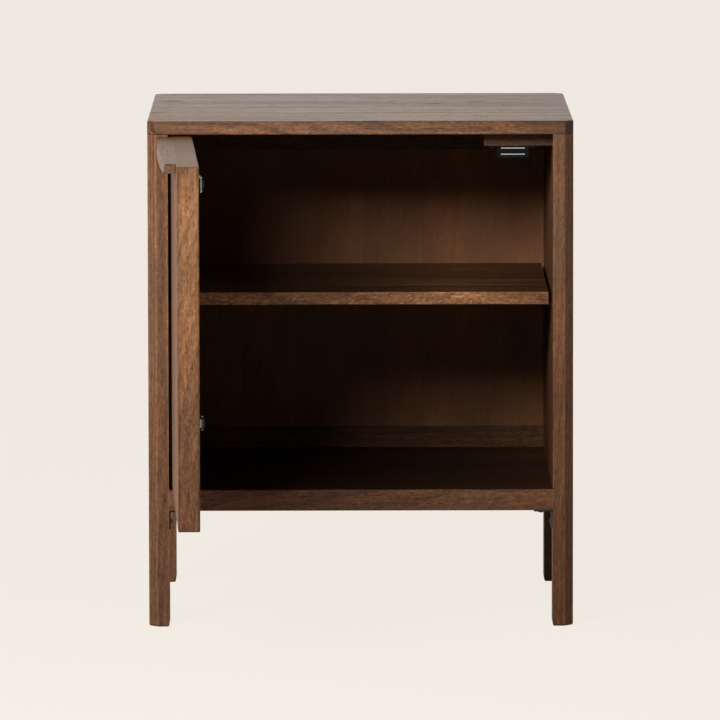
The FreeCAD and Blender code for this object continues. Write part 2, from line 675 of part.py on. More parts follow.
def make_dowels():
    """The dowels of the case, in groups by joint."""
    side = make_pin("side_dowel", "dowel_radius", "-dowel_length / 2", "dowel_length / 2")
    group("side_dowels", side, [
        at("+y", f"{sx} * {SIDE_MIDDLE}", f"{sy} * {BOARD_END}", height)
        for sx in SIDES.values()
        for sy in ENDS.values()
        for height in side_dowel_heights()
    ])
    bottom = make_pin("bottom_dowel", "dowel_radius", "-side_board_depth_of_dowel", "bottom_dowel_depth")
    pointing = {-1: "-x", 1: "+x"}
    group("bottom_dowels", bottom, [
        at(pointing[sx], f"{sx} * {INNER}", back, BOTTOM_MIDDLE)
        for sx in SIDES.values()
        for back in BOTTOM_DOWELS_BACK
    ])
    top = make_pin("top_dowel", "dowel_radius", "-top_dowel_foot", "top_dowel_depth")
    group("top_dowels", top, [at("-z", x, y, LEG_TOP) for x, y in top_dowel_places()])
    rail = make_pin("rail_dowel", "thin_dowel_radius", "-rail_dowel_leg_depth", "rail_dowel_depth")
    heights = [f"{FLOOR_TOP} + rail_dowel_height"] + upper_rail_dowel_heights()
    group("rail_dowels", rail, [
        at(pointing[sx], f"{sx} * {INNER}", RAIL_MIDDLE, height)
        for sx in SIDES.values()
        for height in heights
    ])
    cleat = make_pin("cleat_dowel", "thin_dowel_radius", "-cleat_dowel_depth", "cleat_dowel_rise")
    group("cleat_dowels", cleat, [
        at("-z", x, f"{CATCH_FRONT} + cleat_depth / 2", LEG_TOP) for x in cleat_dowel_places()
    ])


def make_brackets(screw):
    """Steel corner brackets under the bottom board, one in each leg corner."""
    turn = {"left": 0, "right": 180}
    for end, sy in ENDS.items():
        for side, sx in SIDES.items():
            bracket = new_body(f"corner_bracket_{end}_{side}")
            profile = sketch_on(bracket, "y", "-bracket_width / 2")
            add_polygon(profile, [
                ("0", "0"),
                ("bracket_leg", "0"),
                ("bracket_leg", "-bracket_thickness"),
                ("bracket_thickness", "-bracket_thickness"),
                ("bracket_thickness", "-bracket_leg"),
                ("0", "-bracket_leg"),
            ])
            pad(bracket, profile, "y", "bracket_width")
            size = ("bracket_hole_radius", "bracket_thickness")
            drill(bracket, "z", "0", -1, [("bracket_hole", "0")], *size)
            drill(bracket, "x", "0", 1, [("0", "-bracket_hole")], *size)
            corner = f"vector({sx} * {INNER}; {sy} * {BRACKET_BACK}; underside_height)"
            place = f"placement({corner}; rotation(vector(0; 0; 1); {turn[side]}))"
            bracket.setExpression("Placement", expr(place))
    pointing = {-1: "-x", 1: "+x"}
    places = []
    for sx in SIDES.values():
        for sy in ENDS.values():
            back = f"{sy} * {BRACKET_BACK}"
            under = "underside_height - bracket_thickness"
            places.append(at("+z", f"{sx} * ({INNER} - bracket_hole)", back, under))
            beside = f"{sx} * ({INNER} - bracket_thickness)"
            places.append(at(pointing[sx], beside, back, "underside_height - bracket_hole"))
    group("bracket_screws", screw, places)


def make_catch(screw):
    """The cleat under the top, and the magnetic catch that is screwed under it."""
    back = f"({CATCH_FRONT} + cleat_depth)"
    across = (f"{INNER} - cleat_width", INNER)
    cleat = board("catch_cleat", across, (CATCH_FRONT, back), (CLEAT_FOOT, LEG_TOP))
    dowels = [(x, f"{CATCH_FRONT} + cleat_depth / 2") for x in cleat_dowel_places()]
    drill(cleat, "z", LEG_TOP, -1, dowels, "thin_dowel_radius", "cleat_dowel_depth")
    ears = [(f"{CATCH_MIDDLE} + {step} * catch_screw_spacing / 2", CATCH_SCREW_BACK) for step in (-1, 1)]
    pilot = "small_screw_length - catch_ear_thickness"
    drill(cleat, "z", CLEAT_FOOT, 1, ears, "small_screw_radius", pilot)

    housing = board(
        "catch_housing",
        (f"({CATCH_MIDDLE} - catch_width / 2)", f"({CATCH_MIDDLE} + catch_width / 2)"),
        (CATCH_FRONT, f"({CATCH_FRONT} + catch_depth)"),
        (f"({CLEAT_FOOT} - catch_height)", CLEAT_FOOT),
    )
    ear_plate = sketch_on(housing, "z", f"{CLEAT_FOOT} - catch_ear_thickness")
    half = "catch_ear_width / 2"
    ear_front = f"{CATCH_FRONT} + catch_ear_thickness"
    ear_back = f"{CATCH_FRONT} + catch_depth - catch_ear_thickness"
    low = (f"{CATCH_MIDDLE} - {half}", ear_front)
    add_rectangle(ear_plate, low, (f"{CATCH_MIDDLE} + {half}", ear_back))
    pad(housing, ear_plate, "z", "catch_ear_thickness")
    drill(housing, "z", CLEAT_FOOT, -1, ears, "catch_ear_hole_radius", "catch_ear_thickness")
    stack = "(magnet_height / 2 + pole_thickness)"
    mouth = sketch_on(housing, "y", CATCH_FRONT)
    low = (f"{CATCH_MIDDLE} - pole_width / 2", f"{POLE_MIDDLE} - {stack}")
    add_rectangle(mouth, low, (f"{CATCH_MIDDLE} + pole_width / 2", f"{POLE_MIDDLE} + {stack}"))
    cut(housing, mouth, "y", 1, "pole_depth")

    across = (f"({CATCH_MIDDLE} - pole_width / 2)", f"({CATCH_MIDDLE} + pole_width / 2)")
    deep = f"({CATCH_FRONT} + pole_depth)"
    magnet_half = "magnet_height / 2"
    board(
        "catch_magnet",
        across,
        (CATCH_FRONT, deep),
        (f"({POLE_MIDDLE} - {magnet_half})", f"({POLE_MIDDLE} + {magnet_half})"),
    )
    pole = board(
        "pole_plate",
        across,
        (f"({CATCH_FRONT} - pole_reach)", deep),
        (f"({POLE_MIDDLE} + {magnet_half})", f"({POLE_MIDDLE} + {stack})"),
    )
    shift = "magnet_height + pole_thickness"
    group("catch_pole_plates", pole, [at("-z", "0", "0", "0"), at("-z", "0", "0", f"-({shift})")])
    under = f"{CLEAT_FOOT} - catch_ear_thickness"
    group("catch_screws", screw, [at("+z", x, y, under) for x, y in ears])


def pull_dowel_places():
    first = f"({PULL_START} + pull_dowel_inset)"
    last = f"({PULL_END} - pull_dowel_inset)"
    return [first, f"(({first} + {last}) / 2)", last]


def make_door():
    """The door board, with the holes for its hinge cups, strike plate and pull."""
    door = board("door_board", (HINGE_EDGE, FREE_EDGE), (FRONT, DOOR_INNER), (DOOR_FOOT, DOOR_TOP))
    front, top = value(FRONT), value(DOOR_TOP)
    round_edges(door, "eased_edge", lambda edge: not near(edge, y=front, z=top))
    cups = [(f"-{INNER} + {CUP_ACROSS}", middle) for middle in HINGE_HEIGHTS.values()]
    drill(door, "y", DOOR_INNER, -1, cups, "cup_radius + cup_play", "cup_depth")
    screws = [(f"-{INNER} + {CUP_SCREW_ACROSS}", height) for height in cup_screw_heights()]
    drill(door, "y", DOOR_INNER, -1, screws, "screw_radius", "screw_length - flange_thickness")
    strike = [(x, STRIKE_HEIGHT) for x in strike_screw_places()]
    pilot = "small_screw_length + small_screw_head_height - strike_thickness"
    drill(door, "y", DOOR_INNER, -1, strike, "small_screw_radius", pilot)
    pull = [(x, PULL_DOWEL_HEIGHT) for x in pull_dowel_places()]
    drill(door, "y", FRONT, 1, pull, "thin_dowel_radius", "pull_dowel_depth")
    open_door(door)


def make_pull():
    """The finger pull: a batten whose face bows out and leans to a lip along its lower edge."""
    pull = new_body("door_pull")
    sections = []
    for edge, height in (("lip", PULL_FOOT), ("upper", DOOR_TOP)):
        sketch = sketch_on(pull, "z", height)
        start, middle, end = (f"{FRONT} - pull_{edge}_{place}" for place in ("start", "middle", "end"))
        halfway = f"({PULL_START} + {PULL_END}) / 2"
        places = [(PULL_START, FRONT), (PULL_END, FRONT), (PULL_END, end), (PULL_START, start)]
        corners = [Vector(value(x), value(y), 0) for x, y in places]
        for first, second in ((0, 1), (1, 2), (3, 0)):
            sketch.addGeometry(Part.LineSegment(corners[first], corners[second]))
        crest = Vector(value(halfway), value(middle), 0)
        sketch.addGeometry(Part.Arc(corners[3], crest, corners[2]))
        meetings = ((0, 2, 1, 1), (1, 2, 3, 2), (3, 1, 2, 1), (2, 2, 0, 1))
        for one, one_end, other, other_end in meetings:
            sketch.addConstraint(Sketcher.Constraint("Coincident", one, one_end, other, other_end))
        pin_point(sketch, 0, 1, places[0])
        pin_point(sketch, 0, 2, places[1])
        pin_point(sketch, 1, 2, places[2])
        pin_point(sketch, 2, 1, places[3])
        crest_point = sketch.addGeometry(Part.Point(crest), True)
        sketch.addConstraint(Sketcher.Constraint("PointOnObject", crest_point, 1, 3))
        pin_point(sketch, crest_point, 1, (halfway, middle))
        sections.append(sketch)
    loft = pull.newObject("PartDesign::AdditiveLoft", "pull_loft")
    loft.Profile = sections[0]
    loft.Sections = [sections[1]]
    loft.Ruled = True
    holes = [(x, PULL_DOWEL_HEIGHT) for x in pull_dowel_places()]
    drill(pull, "y", FRONT, -1, holes, "thin_dowel_radius", "pull_dowel_reach")
    open_door(pull)
    dowel = make_pin("pull_dowel", "thin_dowel_radius", "-pull_dowel_depth", "pull_dowel_reach")
    places = [on_door(at("+y", x, FRONT, PULL_DOWEL_HEIGHT)) for x in pull_dowel_places()]
    group("pull_dowels", dowel, places)


def strike_screw_places():
    return [f"({CATCH_MIDDLE} + {step} * strike_screw_spacing / 2)" for step in (-1, 1)]


def cup_screw_heights():
    return [
        f"({middle} + {step} * cup_screw_spacing / 2)"
        for middle in HINGE_HEIGHTS.values()
        for step in (-1, 1)
    ]


def make_strike(screw):
    """The steel strike plate that the catch pulls on, screwed to the door's inner face."""
    strike = board(
        "strike_plate",
        (f"({CATCH_MIDDLE} - strike_width / 2)", f"({CATCH_MIDDLE} + strike_width / 2)"),
        (DOOR_INNER, f"({DOOR_INNER} + strike_thickness)"),
        (f"({STRIKE_HEIGHT} - strike_height / 2)", f"({STRIKE_HEIGHT} + strike_height / 2)"),
    )
    face = value(f"{DOOR_INNER} + strike_thickness")
    round_edges(strike, "strike_rounding", lambda edge: near(edge, y=face))
    holes = [(x, STRIKE_HEIGHT) for x in strike_screw_places()]
    seat = "small_screw_head_height"
    outer = f"({DOOR_INNER} + strike_thickness)"
    drill(strike, "y", outer, -1, holes, "small_screw_head_radius", seat)
    drill(strike, "y", outer, -1, holes, "small_screw_radius", "strike_thickness")
    open_door(strike)
    head = f"({outer} - {seat})"
    places = [on_door(at("-y", x, head, STRIKE_HEIGHT)) for x in strike_screw_places()]
    group("strike_screws", screw, places)


def make_cup(name, height):
    """A hinge cup, pressed into the door, with its flange and the two lugs of its pin."""
    cup = new_body(f"hinge_cup_{name}")
    middle = (CUP_ACROSS, "0")
    face = "door_thickness"
    barrel = sketch_on(cup, "y", f"{face} - cup_depth")
    add_circle(barrel, middle, "cup_radius")
    pad(cup, barrel, "y", "cup_depth")
    rim = sketch_on(cup, "y", face)
    add_circle(rim, middle, "cup_rim_radius")
    pad(cup, rim, "y", "flange_thickness")
    flange = sketch_on(cup, "y", face)
    low = (f"{CUP_SCREW_ACROSS} - flange_width / 2", "-flange_height / 2")
    add_rectangle(flange, low, (f"{CUP_SCREW_ACROSS} + flange_width / 2", "flange_height / 2"))
    pad(cup, flange, "y", "flange_thickness")
    tall = value("flange_height / 2")
    round_edges(cup, "flange_rounding", lambda edge: near(edge, z=tall) and crosswise(edge))
    round_edges(cup, "flange_rounding", lambda edge: near(edge, z=-tall) and crosswise(edge))
    outer = f"({face} + flange_thickness)"
    inner_depth = f"({outer} - ({face} - cup_depth + cup_floor))"
    drill(cup, "y", outer, -1, [middle], "cup_radius - cup_wall", inner_depth)
    screws = [(CUP_SCREW_ACROSS, f"{step} * cup_screw_spacing / 2") for step in (-1, 1)]
    drill(cup, "y", outer, -1, screws, "screw_radius", "flange_thickness")
    lug_foot = f"({face} - cup_depth + cup_floor / 2)"
    near_side = "(link_thickness / 2 + link_lug_gap)"
    for step in (-1, 1):
        lug = sketch_on(cup, "y", lug_foot)
        first = f"{step} * {near_side}"
        second = f"{step} * ({near_side} + lug_thickness)"
        low = ("cup_pin_across - lug_width / 2", first)
        add_rectangle(lug, low, ("cup_pin_across + lug_width / 2", second))
        pad(cup, lug, "y", f"cup_pin_back + lug_rise - {lug_foot}")
    pin = [("cup_pin_across", "cup_pin_back")]
    end = f"({near_side} + lug_thickness)"
    drill(cup, "z", f"-{end}", 1, pin, "pin_radius", f"2 * {end}")
    cup.setExpression("Placement", expr(hinge_on_door(height)))


def crosswise(edge):
    return abs(edge.tangentAt(edge.FirstParameter).y) > 0.999


def hinge_on_door(height):
    """The placement of a hinge piece on the open door."""
    base = f"vector(-{INNER}; {FRONT}; {height})"
    return f"placement({base}; {OPEN_TURN}; vector(pivot_across; pivot_back; 0))"


def make_arm(name, height):
    """A hinge arm: a steel channel on the mounting plate, with two cheeks that reach to the pin."""
    arm = new_body(f"hinge_arm_{name}")
    half = "arm_width / 2"
    tip_out = "(arm_pin_across + arm_tip_radius)"
    tip_in = "(arm_pin_across - arm_tip_radius)"
    side = sketch_on(arm, "z", f"-{half}")
    add_polygon(side, [
        ("arm_foot", "arm_back"),
        ("arm_rise", "arm_back"),
        ("arm_rise", "arm_bend_back"),
        (tip_out, "arm_elbow_back"),
        (tip_out, "arm_pin_back"),
        (tip_in, "arm_pin_back"),
        (tip_in, "arm_pin_back + arm_tip_radius"),
        ("arm_rise - arm_throat", "arm_bend_back - arm_throat"),
        ("arm_foot", "arm_bend_back - arm_throat"),
    ])
    pad(arm, side, "z", "arm_width")
    tip = sketch_on(arm, "z", f"-{half}")
    add_circle(tip, ("arm_pin_across", "arm_pin_back"), "arm_tip_radius")
    pad(arm, tip, "z", "arm_width")
    inside = sketch_on(arm, "z", f"-{half} + arm_steel")
    floor = "(arm_rise - arm_steel)"
    far = "(arm_pin_across + 3 * arm_tip_radius)"
    ahead = "(arm_pin_back - 2 * arm_tip_radius)"
    add_polygon(inside, [
        ("0", "arm_back + arm_steel"),
        (floor, "arm_back + arm_steel"),
        (floor, "arm_bend_back - arm_steel / 2"),
        (tip_in, "arm_pin_back + arm_mouth"),
        (far, "arm_pin_back + arm_mouth"),
        (far, ahead),
        ("0", ahead),
    ])
    cut(arm, inside, "z", 1, "arm_width - 2 * arm_steel")
    drill(arm, "z", f"-{half}", 1, [("arm_pin_across", "arm_pin_back")], "pin_radius", "arm_width")
    screws = [(back, "0") for back in arm_screw_places()]
    drill(arm, "x", "arm_rise", -1, screws, "arm_screw_radius", "arm_steel")
    arm.setExpression("Placement", expr(at_hinge(height)))


def arm_screw_places():
    return ["arm_screw_front", "(arm_screw_front + arm_screw_spacing)"]


def make_plate(name, height):
    """A mounting plate: two screwed wings and the block that the arm is fixed on."""
    plate = new_body(f"hinge_plate_{name}")
    wings = sketch_on(plate, "x", "0")
    low = ("plate_back - plate_width / 2", "-plate_height / 2")
    add_rectangle(wings, low, ("plate_back + plate_width / 2", "plate_height / 2"))
    pad(plate, wings, "x", "plate_thickness")
    block = sketch_on(plate, "x", "0")
    half = "(arm_width / 2 - arm_steel)"
    add_rectangle(block, ("plate_block_front", f"-{half}"), ("plate_block_back", half))
    pad(plate, block, "x", "plate_block_rise")
    wing_screws = [("plate_back", f"{step} * {PLATE_SCREW_RISE}") for step in (-1, 1)]
    drill(plate, "x", "plate_thickness", -1, wing_screws, "screw_radius", "plate_thickness")
    depth = "arm_screw_length - (arm_rise - plate_block_rise)"
    screws = [(back, "0") for back in arm_screw_places()]
    drill(plate, "x", "plate_block_rise", -1, screws, "arm_screw_radius", depth)
    plate.setExpression("Placement", expr(at_hinge(height)))


def bar(name, start, turn, length, half_width, thickness):
    """A flat bar with round ends: a box between two cylinders."""
    base = f"vector({start[0]}; {start[1]}; -({thickness}) / 2)"
    zero = "vector(0; 0; 0)"
    placed = f"placement({base}; rotation(vector(0; 0; 1); {turn}); {zero})"
    box = doc.addObject("Part::Box", name + "_middle")
    box.setExpression("Length", expr(length))
    box.setExpression("Width", expr(f"2 * ({half_width})"))
    box.setExpression("Height", expr(thickness))
    beside = f"placement(vector(0; -({half_width}); 0); rotation(vector(0; 0; 1); 0))"
    box.setExpression("Placement", expr(f"{placed} * {beside}"))
    pieces = [box]
    for along in ("0", length):
        end = doc.addObject("Part::Cylinder", name + "_end")
        end.setExpression("Radius", expr(half_width))
        end.setExpression("Height", expr(thickness))
        along_place = f"placement(vector({along}; 0; 0); rotation(vector(0; 0; 1); 0))"
        end.setExpression("Placement", expr(f"{placed} * {along_place}"))
        pieces.append(end)
    fuse = doc.addObject("Part::MultiFuse", name)
    fuse.Shapes = pieces
    return fuse


def make_link(name, height):
    """A hinge link: an eye on the cup's pin, a bent neck, and a slot that slides on the arm's pin."""
    knee = ("link_knee_across", "link_knee_back")
    pin = ("cup_pin_across", "cup_pin_back")
    rise = (f"({knee[0]} - {pin[0]})", f"({knee[1]} - {pin[1]})")
    near, turn = (
        tuple(f"({place} + {reach} * {way}({LINK_TURN}))" for place, way in zip(pin, ("cos", "sin")))
        for reach in ("link_slot_near", "link_slot_turn")
    )
    run = (f"({near[0]} - {knee[0]})", f"({near[1]} - {knee[1]})")
    slot_parts = [
        ("wide", near, "(link_slot_turn - link_slot_near)", "link_slot_wide"),
        ("narrow", turn, "(link_slot_far - link_slot_turn)", "link_slot_narrow"),
    ]
    bars = []
    for part, start, (across, back) in (("rise", pin, rise), ("run", knee, run)):
        turn_to = f"atan2({back}; {across})"
        length = f"hypot({across}; {back})"
        half_width = "link_half_width"
        bars.append(bar(f"link_{name}_{part}", start, turn_to, length, half_width, "link_thickness"))
    slots = []
    for part, start, length, half_width in slot_parts:
        outer = f"{half_width} + link_slot_wall"
        bars.append(bar(f"link_{name}_{part}", start, LINK_TURN, length, outer, "link_thickness"))
        slots.append(bar(f"slot_{name}_{part}", start, LINK_TURN, length, half_width, "link_thickness"))
    eye = doc.addObject("Part::Cylinder", f"link_{name}_eye")
    eye.setExpression("Radius", expr("link_eye_radius"))
    eye.setExpression("Height", expr("link_thickness"))
    bore = doc.addObject("Part::Cylinder", f"link_{name}_bore")
    bore.setExpression("Radius", expr("pin_radius + pin_play"))
    bore.setExpression("Height", expr("link_thickness"))
    for round_piece in (eye, bore):
        base = f"vector({pin[0]}; {pin[1]}; -link_thickness / 2)"
        place = f"placement({base}; rotation(vector(0; 0; 1); 0))"
        round_piece.setExpression("Placement", expr(place))
    solid = doc.addObject("Part::MultiFuse", f"link_{name}_solid")
    solid.Shapes = bars + [eye]
    holes = doc.addObject("Part::MultiFuse", f"link_{name}_holes")
    holes.Shapes = slots + [bore]
    link = doc.addObject("Part::Cut", f"hinge_link_{name}")
    link.Label = f"hinge_link_{name}"
    link.Base = solid
    link.Tool = holes
    link.setExpression("Placement", expr(hinge_on_door(height)))


def make_hinges(screw):
    """Two concealed hinges: cup and pins in the door, arm and plate on the left side board."""
    for name, height in HINGE_HEIGHTS.items():
        make_cup(name, height)
        make_arm(name, height)
        make_plate(name, height)
        make_link(name, height)
    lug_end = "(link_thickness / 2 + link_lug_gap + lug_thickness)"
    cup_pin = make_pin("cup_pin", "pin_radius", f"-{lug_end}", lug_end)
    pin_place = at("-z", "cup_pin_across", "cup_pin_back", "0")
    heights = list(HINGE_HEIGHTS.values())
    group("hinge_cup_pins", cup_pin, [f"{hinge_on_door(h)} * {pin_place}" for h in heights])
    arm_pin = make_pin("arm_pin", "pin_radius", "-arm_width / 2", "arm_width / 2")
    pin_place = at("-z", "arm_pin_across", "arm_pin_back", "0")
    group("hinge_arm_pins", arm_pin, [f"{at_hinge(h)} * {pin_place}" for h in heights])
    cup_face = f"({DOOR_INNER} + flange_thickness)"
    cup_x = f"-{INNER} + {CUP_SCREW_ACROSS}"
    cup_places = [on_door(at("-y", cup_x, cup_face, h)) for h in cup_screw_heights()]
    group("hinge_cup_screws", screw, cup_places)
    plate_x = f"-{INNER} + plate_thickness"
    plate_y = f"{FRONT} + plate_back"
    plate_places = [at("-x", plate_x, plate_y, h) for h in plate_screw_heights()]
    group("hinge_plate_screws", screw, plate_places)
    arm_screw = make_screw(
        "arm_screw",
        "arm_screw_radius",
        "arm_screw_length",
        "arm_screw_head_radius",
        "arm_screw_head_height",
    )
    group("hinge_arm_screws", arm_screw, [
        at("-x", f"-{INNER} + arm_rise", f"{FRONT} + {back}", h)
        for h in heights
        for back in arm_screw_places()
    ])


NODES = [
    "top_panel",
    "leg_front_left", "leg_front_right", "leg_back_left", "leg_back_right",
    "side_board_left", "side_board_right", "bottom_board",
    "back_rail_lower", "back_rail_upper", "back_panel",
    "shelf", "shelf_pegs",
    "side_dowels", "bottom_dowels", "top_dowels", "rail_dowels", "cleat_dowels",
    "corner_bracket_front_left", "corner_bracket_front_right",
    "corner_bracket_back_left", "corner_bracket_back_right", "bracket_screws",
    "catch_cleat", "catch_housing", "catch_magnet", "catch_pole_plates", "catch_screws",
    "door_board", "door_pull", "pull_dowels", "strike_plate", "strike_screws",
    "hinge_cup_lower", "hinge_cup_upper", "hinge_cup_pins", "hinge_cup_screws",
    "hinge_link_lower", "hinge_link_upper",
    "hinge_arm_lower", "hinge_arm_upper", "hinge_arm_pins", "hinge_arm_screws",
    "hinge_plate_lower", "hinge_plate_upper", "hinge_plate_screws",
]

make_top()
for end, sy in ENDS.items():
    for side, sx in SIDES.items():
        make_leg(end, sy, side, sx)
for side, sx in SIDES.items():
    make_side(side, sx)
make_bottom()
make_back()
make_shelf()
make_dowels()
wood_screw = make_screw(
    "wood_screw",
    "screw_radius",
    "screw_length",
    "screw_head_radius",
    "screw_head_height",
)
small_screw = make_screw(
    "small_screw",
    "small_screw_radius",
    "small_screw_length",
    "small_screw_head_radius",
    "small_screw_head_height",
)
make_brackets(wood_screw)
make_catch(small_screw)
make_door()
make_pull()
make_strike(small_screw)
make_hinges(wood_screw)
doc.recompute()

failed = [item.Label for item in doc.Objects if {"Invalid", "Error"} & set(item.State)]
if failed:
    raise RuntimeError(f"these objects failed: {failed}")
os.makedirs("parts", exist_ok=True)
for label in NODES:
    shape = doc.getObjectsByLabel(label)[0].Shape
    if shape.isNull() or not shape.isValid():
        raise RuntimeError(f"{label} has no valid shape")
    shape.exportStep(f"parts/{label}.step")
print(f"{len(NODES)} nodes written")
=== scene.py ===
"""Looks of a wooden side table with a cabinet, a loose shelf and an open door on concealed hinges.

Metres, +Z up, the front towards -Y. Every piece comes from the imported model; this script gives each
one its finish, then sets the floor, the light and the camera.
"""
import json
import math

import bpy
from mathutils import Matrix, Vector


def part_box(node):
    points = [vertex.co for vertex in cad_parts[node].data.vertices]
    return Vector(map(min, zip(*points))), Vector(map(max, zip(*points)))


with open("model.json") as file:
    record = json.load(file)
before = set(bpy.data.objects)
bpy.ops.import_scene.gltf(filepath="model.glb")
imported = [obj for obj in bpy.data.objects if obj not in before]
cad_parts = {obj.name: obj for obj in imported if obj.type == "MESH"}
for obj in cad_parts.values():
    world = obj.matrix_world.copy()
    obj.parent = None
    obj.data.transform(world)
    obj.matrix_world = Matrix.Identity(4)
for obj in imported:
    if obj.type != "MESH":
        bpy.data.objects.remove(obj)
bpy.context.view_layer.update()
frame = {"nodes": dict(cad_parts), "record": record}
nodes = frame["nodes"]


# ---------------------------------------------------------------- top board
# Flat board of glued staves with their grain along X, doweled onto legs and side boards.
# Brown stain under matt lacquer: rings, pores, curl and knots are cut from one solid texture.

FIRST_COLOUR, SECOND_COLOUR, MIXED_COLOUR = 6, 7, 2  # sockets of a Mix node that mixes colours


class Socket:
    """A shader output that takes part in Python expressions, each of which adds a Math node."""

    def __init__(self, tree, output):
        self.tree = tree
        self.output = output

    def node(self, kind, settings=None, inputs=None, output=0):
        """Adds a node of any kind and returns one of its outputs."""
        made = self.tree.nodes.new(kind)
        for name, setting in (settings or {}).items():
            if name == "stops":
                ramp = made.color_ramp.elements
                while len(ramp) < len(setting):
                    ramp.new(0.5)
                for stop, (place, colour) in zip(ramp, setting):
                    stop.position = place
                    stop.color = (*colour, 1.0)
            else:
                setattr(made, name, setting)
        for name, source in (inputs or {}).items():
            if isinstance(source, Socket):
                self.tree.links.new(source.output, made.inputs[name])
            else:
                made.inputs[name].default_value = source
        return Socket(self.tree, made.outputs[output])

    def math(self, operation, second=0.0, first=None):
        """This value and a second one, or another value before this one where first is given."""
        inputs = {0: self if first is None else first, 1: second}
        return self.node("ShaderNodeMath", {"operation": operation}, inputs)

    def __add__(self, other):
        return self.math("ADD", other)

    def __radd__(self, other):
        return self.math("ADD", self, first=other)

    def __sub__(self, other):
        return self.math("SUBTRACT", other)

    def __rsub__(self, other):
        return self.math("SUBTRACT", self, first=other)

    def __mul__(self, other):
        return self.math("MULTIPLY", other)

    def __rmul__(self, other):
        return self.math("MULTIPLY", self, first=other)

    def __truediv__(self, other):
        return self.math("DIVIDE", other)

    def __pow__(self, other):
        return self.math("POWER", other)

    def step(self, low, high, start=0.0, end=1.0):
        """Eases from start to end while this value goes from low to high."""
        settings = {"interpolation_type": "SMOOTHSTEP"}
        inputs = {"Value": self, "From Min": low, "From Max": high, "To Min": start, "To Max": end}
        return self.node("ShaderNodeMapRange", settings, inputs)


def new_finish(name):
    """An empty material: itself, its object coordinates and its Principled shader."""
    material = bpy.data.materials.new(name)
    material.use_nodes = True
    tree = material.node_tree
    place = Socket(tree, tree.nodes.new("ShaderNodeTexCoord").outputs["Object"])
    return material, place, tree.nodes["Principled BSDF"]


def link(source, shader, name):
    source.tree.links.new(source.output, shader.inputs[name])


def give(material, *names):
    """Puts the material in the slot of each named piece."""
    for name in names:
        nodes[name].data.materials.clear()
        nodes[name].data.materials.append(material)


def axis_of(place, axis):
    """One coordinate of a place: 0, 1 or 2 for x, y or z."""
    return place.node("ShaderNodeSeparateXYZ", None, {0: place}, axis)


def mottle(place, cycles, detail=2.0, roughness=0.5):
    """Noise with so many cycles per metre along each of the three axes."""
    stretched = place.node("ShaderNodeVectorMath", {"operation": "MULTIPLY"}, {0: place, 1: cycles})
    inputs = {"Vector": stretched, "Scale": 1.0, "Detail": detail, "Roughness": roughness}
    return place.node("ShaderNodeTexNoise", {"noise_dimensions": "3D"}, inputs)


def swing(value, weight):
    """How far a noise is off its middle, times its weight."""
    return (value - 0.5) * weight


def dye(value, stops):
    """The colour that the stops give to a value."""
    return value.node("ShaderNodeValToRGB", {"stops": stops}, {"Fac": value})


def glaze(colour, tint, share=1.0):
    """A colour multiplied by a tint, of which only the share counts."""
    settings = {"data_type": "RGBA", "blend_type": "MULTIPLY"}
    inputs = {"Factor": share, FIRST_COLOUR: colour, SECOND_COLOUR: tint}
    return colour.node("ShaderNodeMix", settings, inputs, MIXED_COLOUR)


STAIN = [
    (0.0, (0.028, 0.010, 0.0045)),
    (0.3, (0.080, 0.033, 0.0150)),
    (0.5, (0.152, 0.067, 0.0295)),
    (0.7, (0.252, 0.118, 0.0500)),
    (1.0, (0.430, 0.215, 0.0900)),
]
REDDER_OR_GOLDEN = [(0.35, (1.05, 0.98, 0.95)), (0.65, (0.98, 1.01, 1.02))]
PORE_TONE = 0.42
LACQUER_IOR = 1.45
GRAIN_RELIEF = {"Strength": 0.28, "Distance": 0.0004}
# metres by which the seed, and a glued strip's own number, move the log under a board
SEED_SHIFT = (1.7, 0.9, 0.6)
STRIP_SHIFT = (3.1, 0.05)
SEAM_SHIFT = 0.37
GLUE_LINE, GLUE_TONE = 0.0005, 0.55
# a knot is slimmer across than along the board, pushes the rings aside and has a dark heart
KNOT_SLIMNESS, KNOT_PUSH, KNOT_PUSH_FALL = 0.45, 2.6, -0.35
KNOT_HEART, KNOT_HEART_END, KNOT_TONE = 0.3, 1.5, 0.62
# the late wood of a ring darkens slowly and ends at once, as shares of the ring
LATE_START, LATE_FULL, LATE_END = 0.25, 0.92, 0.93
# cosine and sine of the curl's slant, and its strokes' cycles per metre
SLANT_COS, SLANT_SIN = 0.87, 0.5
STROKE_CYCLES = (165.0, 560.0, 90.0)
# metres from a face, an arris or an end at which a tone there starts to change or has changed
SKIN = 0.0003
FACE_BORDER, UPPER_FACE_BORDER, POLISHED_BORDER = 0.0012, 0.0018, 0.001
ARRIS_BORDER, BEVEL_ARRIS_LOSS, BEVEL_BORDER = 0.0026, 0.0004, 0.0006
FRONT_EDGE_BORDER = 0.003
# painted shade in a strip along each face of the door's free edge
DOOR_RIM_BORDER, DOOR_RIM_SHADE = 0.0055, 0.72
END_GRAIN, END_GRAIN_BORDER = 0.0088, 0.0104
MIDDLE_BORDER = 0.05

# the door stands open by as much as its hinge can close it
door_hinge = next(joint for joint in frame["record"]["behaviour"]["joints"] if joint["name"] == "door_hinge")
DOOR_OPEN = math.radians(-door_hinge["range_deg"][0])


